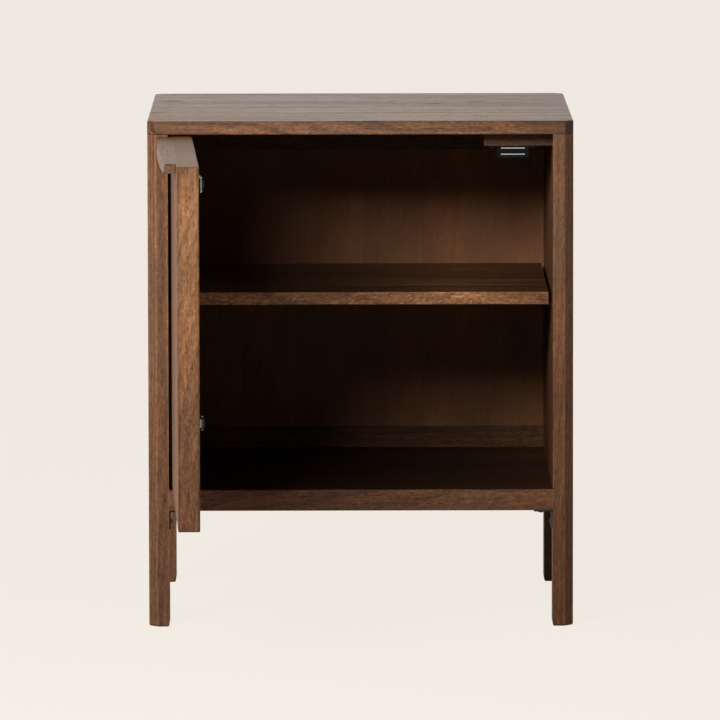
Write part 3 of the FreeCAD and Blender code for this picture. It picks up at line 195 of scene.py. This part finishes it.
def wood(name, grain, box, seed, pith=(0.05, 0.09), ring=0.0065, lean=0.12, curl=0.5, stroke=1.0,
         level=0.0, gain=1.0, stave=None, strips=0.16, knots=(), turned=False, rings=0.09, bands=0.1,
         figure=1.0, fade=0.0, course=None, cast=None, faces=None, inside_shade=1.0, ends=None, bevel=None,
         facet=None, wear_and_glint=0.15, rough=0.5, polish=0.0, shine=0.25):
    """A board cut from a log, stained and lacquered. Places are measured from the board's middle.

    grain, box: the axis of the fibres, and the lowest and highest corner of the board
    seed: moves the log, so that no two boards are alike
    pith, ring, lean: the log's middle across the fibres, a ring's width, and how far the log leans
        for each metre, which draws arches on the faces
    curl, stroke: how strong the short slanting strokes are, and how fine
    level, gain: shift of the stain, and brightness of the finished colour
    stave, strips: axis and width of the glued strips, and how much they differ
    knots: dark knots as (along, across, through, radius)
    turned: whether the board belongs to the open door, whose grain is laid out on the closed door
    rings, bands, figure: how strong the late wood, the long streaks and the fine grain are
    fade: how much the tone rises for each metre of height
    course, cast: tones at stops from the low to the high end of the grain, and a tint at either end
    faces: tone of a door's two faces, which fade and course leave even
    inside_shade: painted shade, the tone of all that lies behind the front edge
    ends: how much darker the bevelled end grain is at the low and at the high end
    bevel, facet: (width, side, end) of an upright bevelled corner, whose side and end are -1 or 1,
        and the bevel's tint
    wear_and_glint: lightens the arrises where they are rubbed, or darkens them where dirt sits if it is below
    0; raised high, as on the front left leg, it paints a highlight along the arrises
    rough, polish, shine: roughness, how much smoother the upper edge is, and the specular level
    """
    material, place, shader = new_finish(name)
    if turned:
        turn = {"rotation_type": "Z_AXIS"}
        place = place.node("ShaderNodeVectorRotate", turn, {"Vector": place, "Angle": DOOR_OPEN})
    low, high = box
    middle = [(a + b) / 2 for a, b in zip(low, high)]
    half = [(b - a) / 2 for a, b in zip(low, high)]
    place = place.node("ShaderNodeVectorMath", {"operation": "SUBTRACT"}, {0: place, 1: middle})
    x, y, z = xyz = [axis_of(place, axis) for axis in range(3)]
    order = {"x": (0, 1, 2), "y": (1, 0, 2), "z": (2, 0, 1)}[grain]
    along_board, across_board, w = (xyz[axis] for axis in order)
    u, v = along_board, across_board

    # a strip's number moves the log, so that neighbours differ, with a dark line of glue between
    strip_tone = 0.0
    seam = 1.0
    if stave:
        axis, width = stave
        count = xyz["xyz".index(axis)] / width + seed * SEAM_SHIFT
        number = count.math("FLOOR")
        chance = number.node("ShaderNodeTexWhiteNoise", {"noise_dimensions": "1D"}, {"W": number + seed})
        strip_tone = swing(chance, strips)
        off_middle = (count - number - 0.5).math("ABSOLUTE")
        seam = off_middle.step(0.5 - GLUE_LINE / width, 0.5, 1.0, GLUE_TONE)
        u = u + chance * STRIP_SHIFT[0]
        v = v + swing(chance, STRIP_SHIFT[1])
    moved = {axis: part + seed * SEED_SHIFT[axis] for axis, part in enumerate((u, v, w))}
    log = u.node("ShaderNodeCombineXYZ", None, moved)

    def noise(along, across, detail=2.0, roughness=0.5):
        """Noise in the log, with so many cycles per metre along and across the fibres."""
        return mottle(log, (along, across, across), detail, roughness)

    drift = noise(2.2, 7.0, 1.0)
    band = noise(2.6, 46.0, 2.0, 0.6)
    cloud = noise(6.0, 15.0, 3.0, 0.55)
    streak = noise(7.0, 150.0, 3.0, 0.6)
    wander = noise(9.0, 26.0)
    fibre = noise(28.0, 620.0, 2.0, 0.6)
    fleck = noise(70.0, 330.0, 2.0, 0.6)
    pore = noise(75.0, 780.0, 1.0).step(0.60, 0.68)
    speck = noise(190.0, 430.0, 2.0, 0.7)

    # rings round the pith, which leans and drifts along the board; each knot pushes them aside
    sideways = v - pith[0] - u * lean + swing(drift, 0.05)
    depth = w - pith[1] + swing(wander, 0.012)
    radius = (sideways * sideways + depth * depth) ** 0.5
    turns = radius / ring + swing(wander, 1.2)
    dark_knot = 0.0
    for along, across, through, size in knots:
        a = (along_board - along) * (KNOT_SLIMNESS / size)
        b = (across_board - across) / size
        c = (w - through) / size
        reach = a * a + b * b + c * c
        turns = turns + (reach * KNOT_PUSH_FALL).math("EXPONENT") * KNOT_PUSH
        ragged = reach + swing(streak, 1.6)
        dark_knot = dark_knot + ragged.step(KNOT_HEART, KNOT_HEART_END, 1.0, 0.0)
    phase = turns.math("FRACT")
    late = phase.step(LATE_START, LATE_FULL) * phase.step(LATE_END, 1.0, 1.0, 0.0)

    # curl: short strokes at a slant to the fibres, which come and go
    lengthwise = u * SLANT_COS + (v + w) * SLANT_SIN
    crossing = (v + w) * SLANT_COS - u * SLANT_SIN
    slant = u.node("ShaderNodeCombineXYZ", None, {0: lengthwise, 1: crossing, 2: v - w})
    cycles = (STROKE_CYCLES[0] * stroke, STROKE_CYCLES[1] * stroke, STROKE_CYCLES[2])
    ripple = mottle(slant, cycles, 3.0, 0.65)
    curled = (ripple - 0.5) * cloud.step(0.34, 0.58, 0.25, 1.0) * curl

    # the stain follows all of these
    gaps = [half[axis] - xyz[axis].math("ABSOLUTE") for axis in range(3)]
    rise = z * fade
    if faces:
        on_edge = gaps[1].step(SKIN, FACE_BORDER)
        rise = rise * on_edge
    fine = swing(streak, 0.32) + swing(fibre, 0.20) + swing(fleck, 0.28) + swing(speck, 0.50)
    broad = swing(cloud, 0.42) + swing(band, bands) - late * rings
    colour = dye(0.5 + level + strip_tone + fine * figure + broad + curled + rise, STAIN)

    # a rubbed arris, or a painted highlight along it: the middle one of the three distances to the faces is
    # the way to the nearest edge, and on both arrises of a bevel one distance is nothing and the other the
    # bevel's width
    least = gaps[0].math("MINIMUM", gaps[1]).math("MINIMUM", gaps[2])
    most = gaps[0].math("MAXIMUM", gaps[1]).math("MAXIMUM", gaps[2])
    arris = gaps[0] + gaps[1] + gaps[2] - least - most
    if bevel:
        width, side, end = bevel
        side_gap = half[0] - x * side
        end_gap = half[1] - y * end
        past = side_gap + end_gap - width
        bevel_arris = side_gap.math("MINIMUM", end_gap) + past.math("ABSOLUTE") + BEVEL_ARRIS_LOSS
        arris = arris.math("MINIMUM", bevel_arris)
    near_arris = (arris + swing(streak, 0.003)).step(0.0, ARRIS_BORDER, 1.0, 0.0)

    # tones that lie over the stain
    shade = (1.0 - pore * (PORE_TONE * figure)) * seam * (1.0 + near_arris * wear_and_glint) * gain
    if ends:
        near_end = gaps[order[0]].step(END_GRAIN, END_GRAIN_BORDER, 1.0, 0.0)
        under_face = gaps[2].step(SKIN, UPPER_FACE_BORDER)
        darker = along_board.step(-MIDDLE_BORDER, MIDDLE_BORDER, *ends)
        shade = shade * (1.0 - near_end * under_face * darker)
    if knots:
        shade = shade * (1.0 - dark_knot.math("MINIMUM", 1.0) * KNOT_TONE)
    # painted shade over all that lies behind the front edge
    if inside_shade != 1.0:
        shade = shade * gaps[1].step(0.0, FRONT_EDGE_BORDER, 1.0, inside_shade)
    along_share = along_board / (2.0 * half[order[0]]) + 0.5
    if course:
        run = dye(along_share, [(stop, (tone, tone, tone)) for stop, tone in course])
        run = run.node("ShaderNodeSeparateColor", None, {0: run})
        if faces:
            # painted shade in a strip along each face of the free edge
            rim_shade = gaps[1].step(0.0, DOOR_RIM_BORDER, DOOR_RIM_SHADE, 1.0)
            run = faces * (1.0 - on_edge) + run * rim_shade * on_edge
        shade = shade * run
    grey = shade.node("ShaderNodeCombineColor", None, {0: shade, 1: shade, 2: shade})
    colour = glaze(colour, grey)
    if facet:
        colour = glaze(colour, (*facet, 1.0), past.step(0.0, BEVEL_BORDER, 1.0, 0.0))
    if cast:
        colour = glaze(colour, dye(along_share, [(0.0, cast[0]), (1.0, cast[1])]))
    link(glaze(colour, dye(wander, REDDER_OR_GOLDEN)), shader, "Base Color")

    uneven = swing(streak, 0.16) + swing(cloud, 0.14) + swing(band, bands) * 0.6 + pore * 0.2
    if polish:
        uneven = uneven - (half[2] - z).step(0.0, POLISHED_BORDER, polish, 0.0)
    link(rough + uneven - near_arris * 0.05 + dark_knot * 0.15, shader, "Roughness")
    height = streak * 0.30 + fibre * 0.35 - pore * 0.9 - late * 0.25 + seam * 0.6
    bump = height.node("ShaderNodeBump", None, {**GRAIN_RELIEF, "Height": height})
    link(bump, shader, "Normal")
    shader.inputs["IOR"].default_value = LACQUER_IOR
    shader.inputs["Specular IOR Level"].default_value = shine
    return material


# small dark knots near the left end and in the right half
TOP_MARKS = (
    (-0.228, 0.098, 0.008, 0.0075),
    (-0.246, -0.089, 0.008, 0.0060),
    (0.087, 0.047, 0.008, 0.0050),
    (0.141, 0.080, 0.008, 0.0060),
    (0.109, -0.055, 0.008, 0.0045),
)
TOP_COURSE = ((0.0, 1.16), (0.15, 1.0), (0.45, 0.92), (0.62, 1.1), (0.85, 0.92), (1.0, 0.76))
top_finish = wood(
    "top_finish", "x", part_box("top_panel"), seed=3.0, pith=(0.02, -0.11), ring=0.0075, lean=0.05,
    curl=0.9, stroke=1.5, gain=1.13, stave=("y", 0.09), knots=TOP_MARKS, rings=0.14, bands=0.7,
    course=TOP_COURSE, ends=(0.22, 0.60), wear_and_glint=-0.2, rough=0.34, shine=0.36,
)
give(top_finish, "top_panel")


# ---------------------------------------------------------------- legs
# Four legs of solid wood, bevelled on their outer corner, with upright grain.
# Doweled to the side boards, the rails and the top. Each one is cut from its own stick.

LEG_BEVEL = 0.01
FRONT_COURSE = ((0.0, 0.98), (0.14, 0.86), (0.3, 0.84), (0.5, 1.06), (0.7, 1.06), (0.85, 0.96))
# painted light and shade in each leg's gain and fade: the front right leg darker, farther from the lamp; the
# back left lighter, where the lamp reaches under the case; the back right darker, in the case's shadow; every
# leg lighter towards its top
leg_looks = {
    "leg_front_left": {
        # the high arris lightening here is a painted highlight along the bevel's arris, over the wear of the
        # arrises
        "gain": 0.90, "fade": 0.26, "facet": (1.20, 1.30, 1.52), "wear_and_glint": 0.45,
        "course": FRONT_COURSE, "cast": ((1.0, 1.0, 0.98), (1.0, 1.0, 1.05)),
    },
    "leg_front_right": {
        "gain": 0.80, "fade": 0.26, "facet": (1.20, 1.28, 1.42),
        "cast": ((1.03, 0.94, 0.82), (0.98, 1.03, 1.18)),
    },
    "leg_back_left": {"gain": 1.12, "fade": 0.24},
    "leg_back_right": {"gain": 0.66, "fade": 0.14},
}
for number, (leg, looks) in enumerate(leg_looks.items()):
    side = -1 if leg.endswith("left") else 1
    end = -1 if "front" in leg else 1
    leg_finish = wood(
        f"{leg}_finish", "z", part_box(leg), seed=5.0 + number * 2.3, ring=0.0052, lean=0.035,
        pith=(side * 0.045, 0.06 - number * 0.012), curl=0.3, figure=0.85,
        bevel=(LEG_BEVEL, side, end), rough=0.6, shine=0.22, **looks,
    )
    give(leg_finish, leg)


# ---------------------------------------------------------------- side boards
# Upright staves, doweled between the legs to close the cabinet left and right.
# Same stain as the legs; their lower gain is painted shade for the inside of the cabinet.

for number, board in enumerate(("side_board_left", "side_board_right")):
    side_finish = wood(
        f"{board}_finish", "z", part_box(board), seed=21.0 + number * 4.1, pith=(0.09, 0.03),
        ring=0.007, lean=0.10, curl=0.3, gain=0.75, stave=("y", 0.082), shine=0.2,
    )
    give(side_finish, board)


# ---------------------------------------------------------------- bottom board and back rails
# The floor of the cabinet and the two rails that tie the back legs, doweled, with grain along X.
# The bottom board's front edge shows a straight figure between the legs; behind it, the board carries painted
# shade.

# course and cast: partly painted light that lifts the door's shadow on the left of the front edge, partly the
# board's tone along its length
BOTTOM_COURSE = ((0.0, 1.15), (0.2, 1.4), (0.35, 1.35), (0.45, 1.03), (0.75, 0.93), (1.0, 1.36))
bottom_finish = wood(
    "bottom_finish", "x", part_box("bottom_board"), seed=31.0, pith=(0.03, 0.10), ring=0.008,
    lean=0.04, level=-0.04, stave=("y", 0.095), course=BOTTOM_COURSE,
    cast=((1.0, 1.0, 1.22), (1.0, 1.0, 1.0)), inside_shade=0.28, shine=0.2,
)
give(bottom_finish, "bottom_board")
# the rails' low gain is painted shade at the back of the cabinet
for number, rail in enumerate(("back_rail_lower", "back_rail_upper")):
    rail_finish = wood(
        f"{rail}_finish", "x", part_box(rail), seed=37.0 + number * 3.7, pith=(0.04, 0.07),
        ring=0.006, lean=0.05, curl=0.35, gain=0.62, shine=0.15,
    )
    give(rail_finish, rail)


# ---------------------------------------------------------------- back panel
# Thin veneered panel in the grooves of rails and legs, its grain upright.
# Broad, well matched leaves of veneer with a quiet figure.

back_finish = wood(
    "back_finish", "z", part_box("back_panel"), seed=45.0, pith=(0.06, 0.12), ring=0.009, lean=0.06,
    curl=0.1, level=-0.03, gain=1.32, stave=("x", 0.22), strips=0.03, rings=0.015, bands=0.04,
    figure=0.3, rough=0.6, shine=0.18,
)
give(back_finish, "back_panel")


# ---------------------------------------------------------------- shelf
# Loose shelf of glued staves on four steel pegs, palest at its left end, where painted light lifts the door's
# shadow.
# Its front edge is curly; the board behind it carries painted shade.

# painted light: the course and the cast brighten and grey the left part, which lies in the door's shadow
SHELF_COURSE = ((0.08, 2.2), (0.28, 1.65), (0.4, 1.05), (0.6, 0.98), (0.78, 1.26), (1.0, 0.72))
shelf_finish = wood(
    "shelf_finish", "x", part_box("shelf"), seed=52.0, pith=(0.05, -0.09), ring=0.0075, lean=0.09,
    curl=1.0, gain=1.84, stave=("y", 0.088), bands=0.4, course=SHELF_COURSE,
    cast=((1.0, 1.14, 1.3), (1.0, 1.06, 1.06)), inside_shade=0.35, shine=0.14,
)
give(shelf_finish, "shelf")


# ---------------------------------------------------------------- door board and pull
# Door of upright staves on two hinges, with a bowed finger pull doweled along its top edge.
# The free edge is figured, paler in its upper half, with painted shade in a strip along either face; the
# pull's grain runs along it.


def closed_box(name):
    """The lowest and highest corner of a piece of the door, turned back until the door is closed."""
    turn = Matrix.Rotation(DOOR_OPEN, 3, "Z")
    places = [turn @ vertex.co for vertex in nodes[name].data.vertices]
    return [min(column) for column in zip(*places)], [max(column) for column in zip(*places)]


# two specks close together near the upper end of the free edge
DOOR_MARKS = (
    (0.173, 0.222, -0.0055, 0.002),
    (0.168, 0.222, -0.0025, 0.002),
)
EDGE_COURSE = ((0.0, 1.06), (0.29, 0.8), (0.5, 1.26), (0.72, 0.86), (0.88, 1.25), (1.0, 0.7))
door_finish = wood(
    "door_finish", "z", closed_box("door_board"), seed=61.0, pith=(0.02, 0.07), lean=0.16,
    stroke=1.7, level=-0.01, stave=("x", 0.0896), knots=DOOR_MARKS, turned=True, fade=0.7,
    course=EDGE_COURSE, faces=1.38, wear_and_glint=-0.25, rough=0.56, polish=0.19, shine=0.2,
)
give(door_finish, "door_board")
pull_finish = wood(
    "pull_finish", "x", closed_box("door_pull"), seed=71.0, pith=(0.03, 0.05), ring=0.005,
    lean=0.03, curl=0.3, level=0.02, turned=True, ends=(0.3, 0.3), wear_and_glint=-0.6, rough=0.39, shine=0.4,
)
give(pull_finish, "door_pull")


# ---------------------------------------------------------------- catch cleat
# Small block that carries the catch, doweled under the top, grain along X.
# Offcut of the same wood; its low gain is painted shade from the top above it.

cleat_finish = wood(
    "cleat_finish", "x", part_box("catch_cleat"), seed=83.0, pith=(0.03, 0.04), ring=0.005,
    lean=0.04, curl=0.3, gain=0.45, shine=0.15,
)
give(cleat_finish, "catch_cleat")


# ---------------------------------------------------------------- dowels
# Fluted beech dowels inside the joints, bare wood.
# Pale, with short brown flecks.

BEECH = [(0.35, (0.36, 0.22, 0.12)), (0.6, (0.60, 0.43, 0.27))]
dowel_finish, place, shader = new_finish("dowel_finish")
fleck = mottle(place, (420.0, 420.0, 420.0), 3.0)
link(dye(fleck, BEECH), shader, "Base Color")
link(0.62 + swing(fleck, 0.2), shader, "Roughness")
give(dowel_finish, "side_dowels", "bottom_dowels", "top_dowels", "rail_dowels", "cleat_dowels", "pull_dowels")


# ---------------------------------------------------------------- hinges
# Concealed hinges of pressed steel, screwed to the door and to the left side board.
# The cups are nickel plated, arms and links satin; plates, pins and screws are rough steel, their near-black
# tone painted shade.

SCRATCHES = (5200.0, 700.0, 260.0)
SCRATCH_RELIEF = {"Strength": 0.12, "Distance": 0.00006}
STAINED_SHARE, STAINED_TONE = 0.35, 0.45
PAINTED_SHADE = (0.03, 0.03, 0.03, 1.0)
SHADE_BORDER = 0.0008


def metal(name, colour, worn, rough, scratch=0.12, metallic=1.0, shaded_to=None):
    """Plated or painted steel: cloudy tone, fine scratches and small stains, with painted shade below a given
    x.
    """
    material, place, shader = new_finish(name)
    patch = mottle(place, (90.0, 90.0, 90.0), 3.0, 0.6).step(0.35, 0.68)
    spots = mottle(place, (900.0, 900.0, 900.0), 1.0).step(0.62, 0.72)
    lines = mottle(place, SCRATCHES, 2.0, 0.7)

    def blend(share, first, second):
        """The first colour, with a share of the second one over it."""
        settings = {"data_type": "RGBA", "blend_type": "MIX"}
        inputs = {"Factor": share, FIRST_COLOUR: first, SECOND_COLOUR: second}
        return share.node("ShaderNodeMix", settings, inputs, MIXED_COLOUR)

    tone = blend(patch, (*colour, 1.0), (*worn, 1.0))
    stained = (*(part * STAINED_TONE for part in colour), 1.0)
    tone = blend(spots * STAINED_SHARE, tone, stained)
    if shaded_to:
        # painted shade over the plate below the given x
        tone = blend(axis_of(place, 0).step(shaded_to, shaded_to + SHADE_BORDER, 1.0, 0.0), tone, PAINTED_SHADE)
    link(tone, shader, "Base Color")
    link(rough + swing(lines, 2 * scratch) + patch * 0.08 + spots * 0.15, shader, "Roughness")
    bump = lines.node("ShaderNodeBump", None, {**SCRATCH_RELIEF, "Height": lines})
    link(bump, shader, "Normal")
    shader.inputs["Metallic"].default_value = metallic
    return material


nickel = metal("nickel_finish", colour=(0.46, 0.445, 0.42), worn=(0.37, 0.355, 0.33), rough=0.27)
satin = metal("satin_steel_finish", colour=(0.42, 0.395, 0.35), worn=(0.34, 0.32, 0.28), rough=0.5)
# near black: painted shade on the hinge plates, pins and screws, and on the catch's screws and the shelf pegs
dull_shaded_steel = metal("dull_shaded_steel_finish", colour=(0.085, 0.082, 0.078), worn=(0.06, 0.058, 0.054), rough=0.6)
for hinge in ("lower", "upper"):
    give(nickel, f"hinge_cup_{hinge}")
    give(satin, f"hinge_arm_{hinge}", f"hinge_link_{hinge}")
    give(dull_shaded_steel, f"hinge_plate_{hinge}")
give(dull_shaded_steel, "hinge_cup_pins", "hinge_arm_pins")
give(dull_shaded_steel, "hinge_cup_screws", "hinge_plate_screws", "hinge_arm_screws")


# ---------------------------------------------------------------- catch
# Magnetic catch, screwed to the cleat: black moulded housing, a magnet between two steel plates.
# The strike plate is screwed to the door; it is plated, with painted shade over all but a thin rim, where it
# meets the door.

BLACK_PLASTIC = [(0.3, (0.003, 0.0032, 0.0035)), (0.75, (0.007, 0.007, 0.0075))]
PEBBLE_RELIEF = {"Strength": 0.2, "Distance": 0.0001}
SHINY_RIM = 0.00167
catch_finish, place, shader = new_finish("catch_finish")
sheen = mottle(place, (60.0, 60.0, 60.0))
pebble = mottle(place, (1400.0, 1400.0, 1400.0))
link(dye(sheen, BLACK_PLASTIC), shader, "Base Color")
link(0.55 + swing(pebble, 0.3), shader, "Roughness")
link(pebble.node("ShaderNodeBump", None, {**PEBBLE_RELIEF, "Height": pebble}), shader, "Normal")
shader.inputs["Specular IOR Level"].default_value = 0.05
give(catch_finish, "catch_housing", "catch_magnet")
pole_finish = metal("pole_finish", colour=(0.60, 0.62, 0.65), worn=(0.52, 0.54, 0.56), rough=0.2)
give(pole_finish, "catch_pole_plates")
strike_finish = metal(
    "strike_finish", colour=(0.42, 0.42, 0.41), worn=(0.35, 0.35, 0.34), rough=0.26,
    shaded_to=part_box("strike_plate")[1].x - SHINY_RIM,
)
give(strike_finish, "strike_plate")


# ---------------------------------------------------------------- screws, pegs and brackets
# Zinc plated screws hold the strike plate; the catch's screws and the shelf pegs take the same rough steel,
# whose near black is painted shade.
# The corner brackets under the bottom board and their screws are dark, with patchy plating.

zinc = metal("screw_finish", colour=(0.55, 0.54, 0.51), worn=(0.46, 0.44, 0.40), rough=0.32)
give(zinc, "strike_screws")
give(dull_shaded_steel, "catch_screws", "shelf_pegs")
dark = metal(
    "bracket_finish", colour=(0.018, 0.016, 0.015), worn=(0.034, 0.031, 0.028), rough=0.5,
    scratch=0.16, metallic=0.3,
)
give(dark, "bracket_screws")
for corner in ("front_left", "front_right", "back_left", "back_right"):
    give(dark, f"corner_bracket_{corner}")


# ---------------------------------------------------------------- floor
# A wide pale floor that runs on as the backdrop. To the camera it is the backdrop's colour,
# less the soft shadow of the table; to everything else it is a plain pale surface.

BACKDROP = (0.871, 0.815, 0.753)
PLAIN_SHARE = 0.38
SHADOW_CATCHER = (0.047, 0.044, 0.041, 1.0)
GLOW = (0.860, 0.804, 0.742, 1.0)
FLOOR_REACH = 60.0

floor_mesh = bpy.data.meshes.new("floor")
corners = [(side * FLOOR_REACH, end * FLOOR_REACH, 0.0) for side, end in ((-1, -1), (1, -1), (1, 1), (-1, 1))]
floor_mesh.from_pydata(corners, [], [(0, 1, 2, 3)])
floor = bpy.data.objects.new("floor", floor_mesh)
bpy.context.scene.collection.objects.link(floor)


def ray_kinds(tree, *names):
    """Which kind of ray looks at a surface, one output for each name."""
    ray = tree.nodes.new("ShaderNodeLightPath")
    return [Socket(tree, ray.outputs[f"Is {name} Ray"]) for name in names]


floor_finish = bpy.data.materials.new("floor_finish")
floor_finish.use_nodes = True
tree = floor_finish.node_tree
tree.nodes.clear()
seen, glossy = ray_kinds(tree, "Camera", "Glossy")
shown = seen.math("MAXIMUM", glossy)
plain = seen.node("ShaderNodeBsdfDiffuse", None, {"Color": (*(part * PLAIN_SHARE for part in BACKDROP), 1.0)})
shadowed = seen.node("ShaderNodeBsdfDiffuse", None, {"Color": SHADOW_CATCHER})
glow = seen.node("ShaderNodeEmission", None, {"Color": GLOW, "Strength": 1.0})
view = seen.node("ShaderNodeAddShader", None, {0: shadowed, 1: glow})
both = seen.node("ShaderNodeMixShader", None, {"Fac": shown, 1: plain, 2: view})
out = tree.nodes.new("ShaderNodeOutputMaterial")
tree.links.new(both.output, out.inputs["Surface"])
floor_mesh.materials.append(floor_finish)


# ---------------------------------------------------------------- light
# One soft lamp from the left, above the camera's side of the table, and a dim room.
# Polished surfaces see the pale backdrop behind the table and a darker room in front.

ROOM = (0.98, 0.97, 0.98, 1.0)
ROOM_STRENGTH = 0.14
FRONT_STRENGTH, FRONT_END, BACK_START = 0.05, -0.35, 0.25
LAMP_SIZE = (1.3, 0.55)
LAMP_WATTS = 85.0
LAMP_COLOUR = (1.0, 0.98, 0.955)
LAMP_PLACE = (-1.08, -2.32, 1.37)
LAMP_AIM = (0.0, -0.1, 0.33)

scene = bpy.context.scene
world = bpy.data.worlds.new("room")
scene.world = world
world.use_nodes = True
tree = world.node_tree
tree.nodes.clear()
seen, glossy, through = ray_kinds(tree, "Camera", "Glossy", "Transmission")
way = Socket(tree, tree.nodes.new("ShaderNodeTexCoord").outputs["Generated"])
behind = axis_of(way, 1).step(FRONT_END, BACK_START, FRONT_STRENGTH, 1.0)
backdrop = seen.node("ShaderNodeBackground", None, {"Color": (*BACKDROP, 1.0), "Strength": behind})
room = seen.node("ShaderNodeBackground", None, {"Color": ROOM, "Strength": ROOM_STRENGTH})
shown = seen.math("MAXIMUM", glossy).math("MAXIMUM", through)
both = seen.node("ShaderNodeMixShader", None, {"Fac": shown, 1: room, 2: backdrop})
out = tree.nodes.new("ShaderNodeOutputWorld")
tree.links.new(both.output, out.inputs["Surface"])

lamp = bpy.data.lights.new("key", "AREA")
lamp.shape = "RECTANGLE"
lamp.size, lamp.size_y = LAMP_SIZE
lamp.energy = LAMP_WATTS
lamp.color = LAMP_COLOUR
key = bpy.data.objects.new("key", lamp)
scene.collection.objects.link(key)
key.location = LAMP_PLACE
across, back, up = (aim - start for aim, start in zip(LAMP_AIM, key.location))
key.rotation_euler = (math.atan2(math.hypot(across, back), -up), 0.0, math.atan2(-across, back))


# ---------------------------------------------------------------- camera
# Long lens a little above the top, almost square to the front.

CAMERA_PLACE = (-0.0279, -9.823, 1.3282)
CAMERA_TURN = (83.98, 0.10, -0.1721)
SENSOR_WIDTH = 36.0
FOCAL_LENGTH = 410.6
FAR_END = 200.0

lens = bpy.data.cameras.new("camera")
lens.sensor_width = SENSOR_WIDTH
lens.lens = FOCAL_LENGTH
lens.clip_end = FAR_END
camera = bpy.data.objects.new("camera", lens)
scene.collection.objects.link(camera)
camera.location = CAMERA_PLACE
camera.rotation_euler = [math.radians(degrees) for degrees in CAMERA_TURN]
scene.camera = camera
scene.view_settings.view_transform = "Standard"
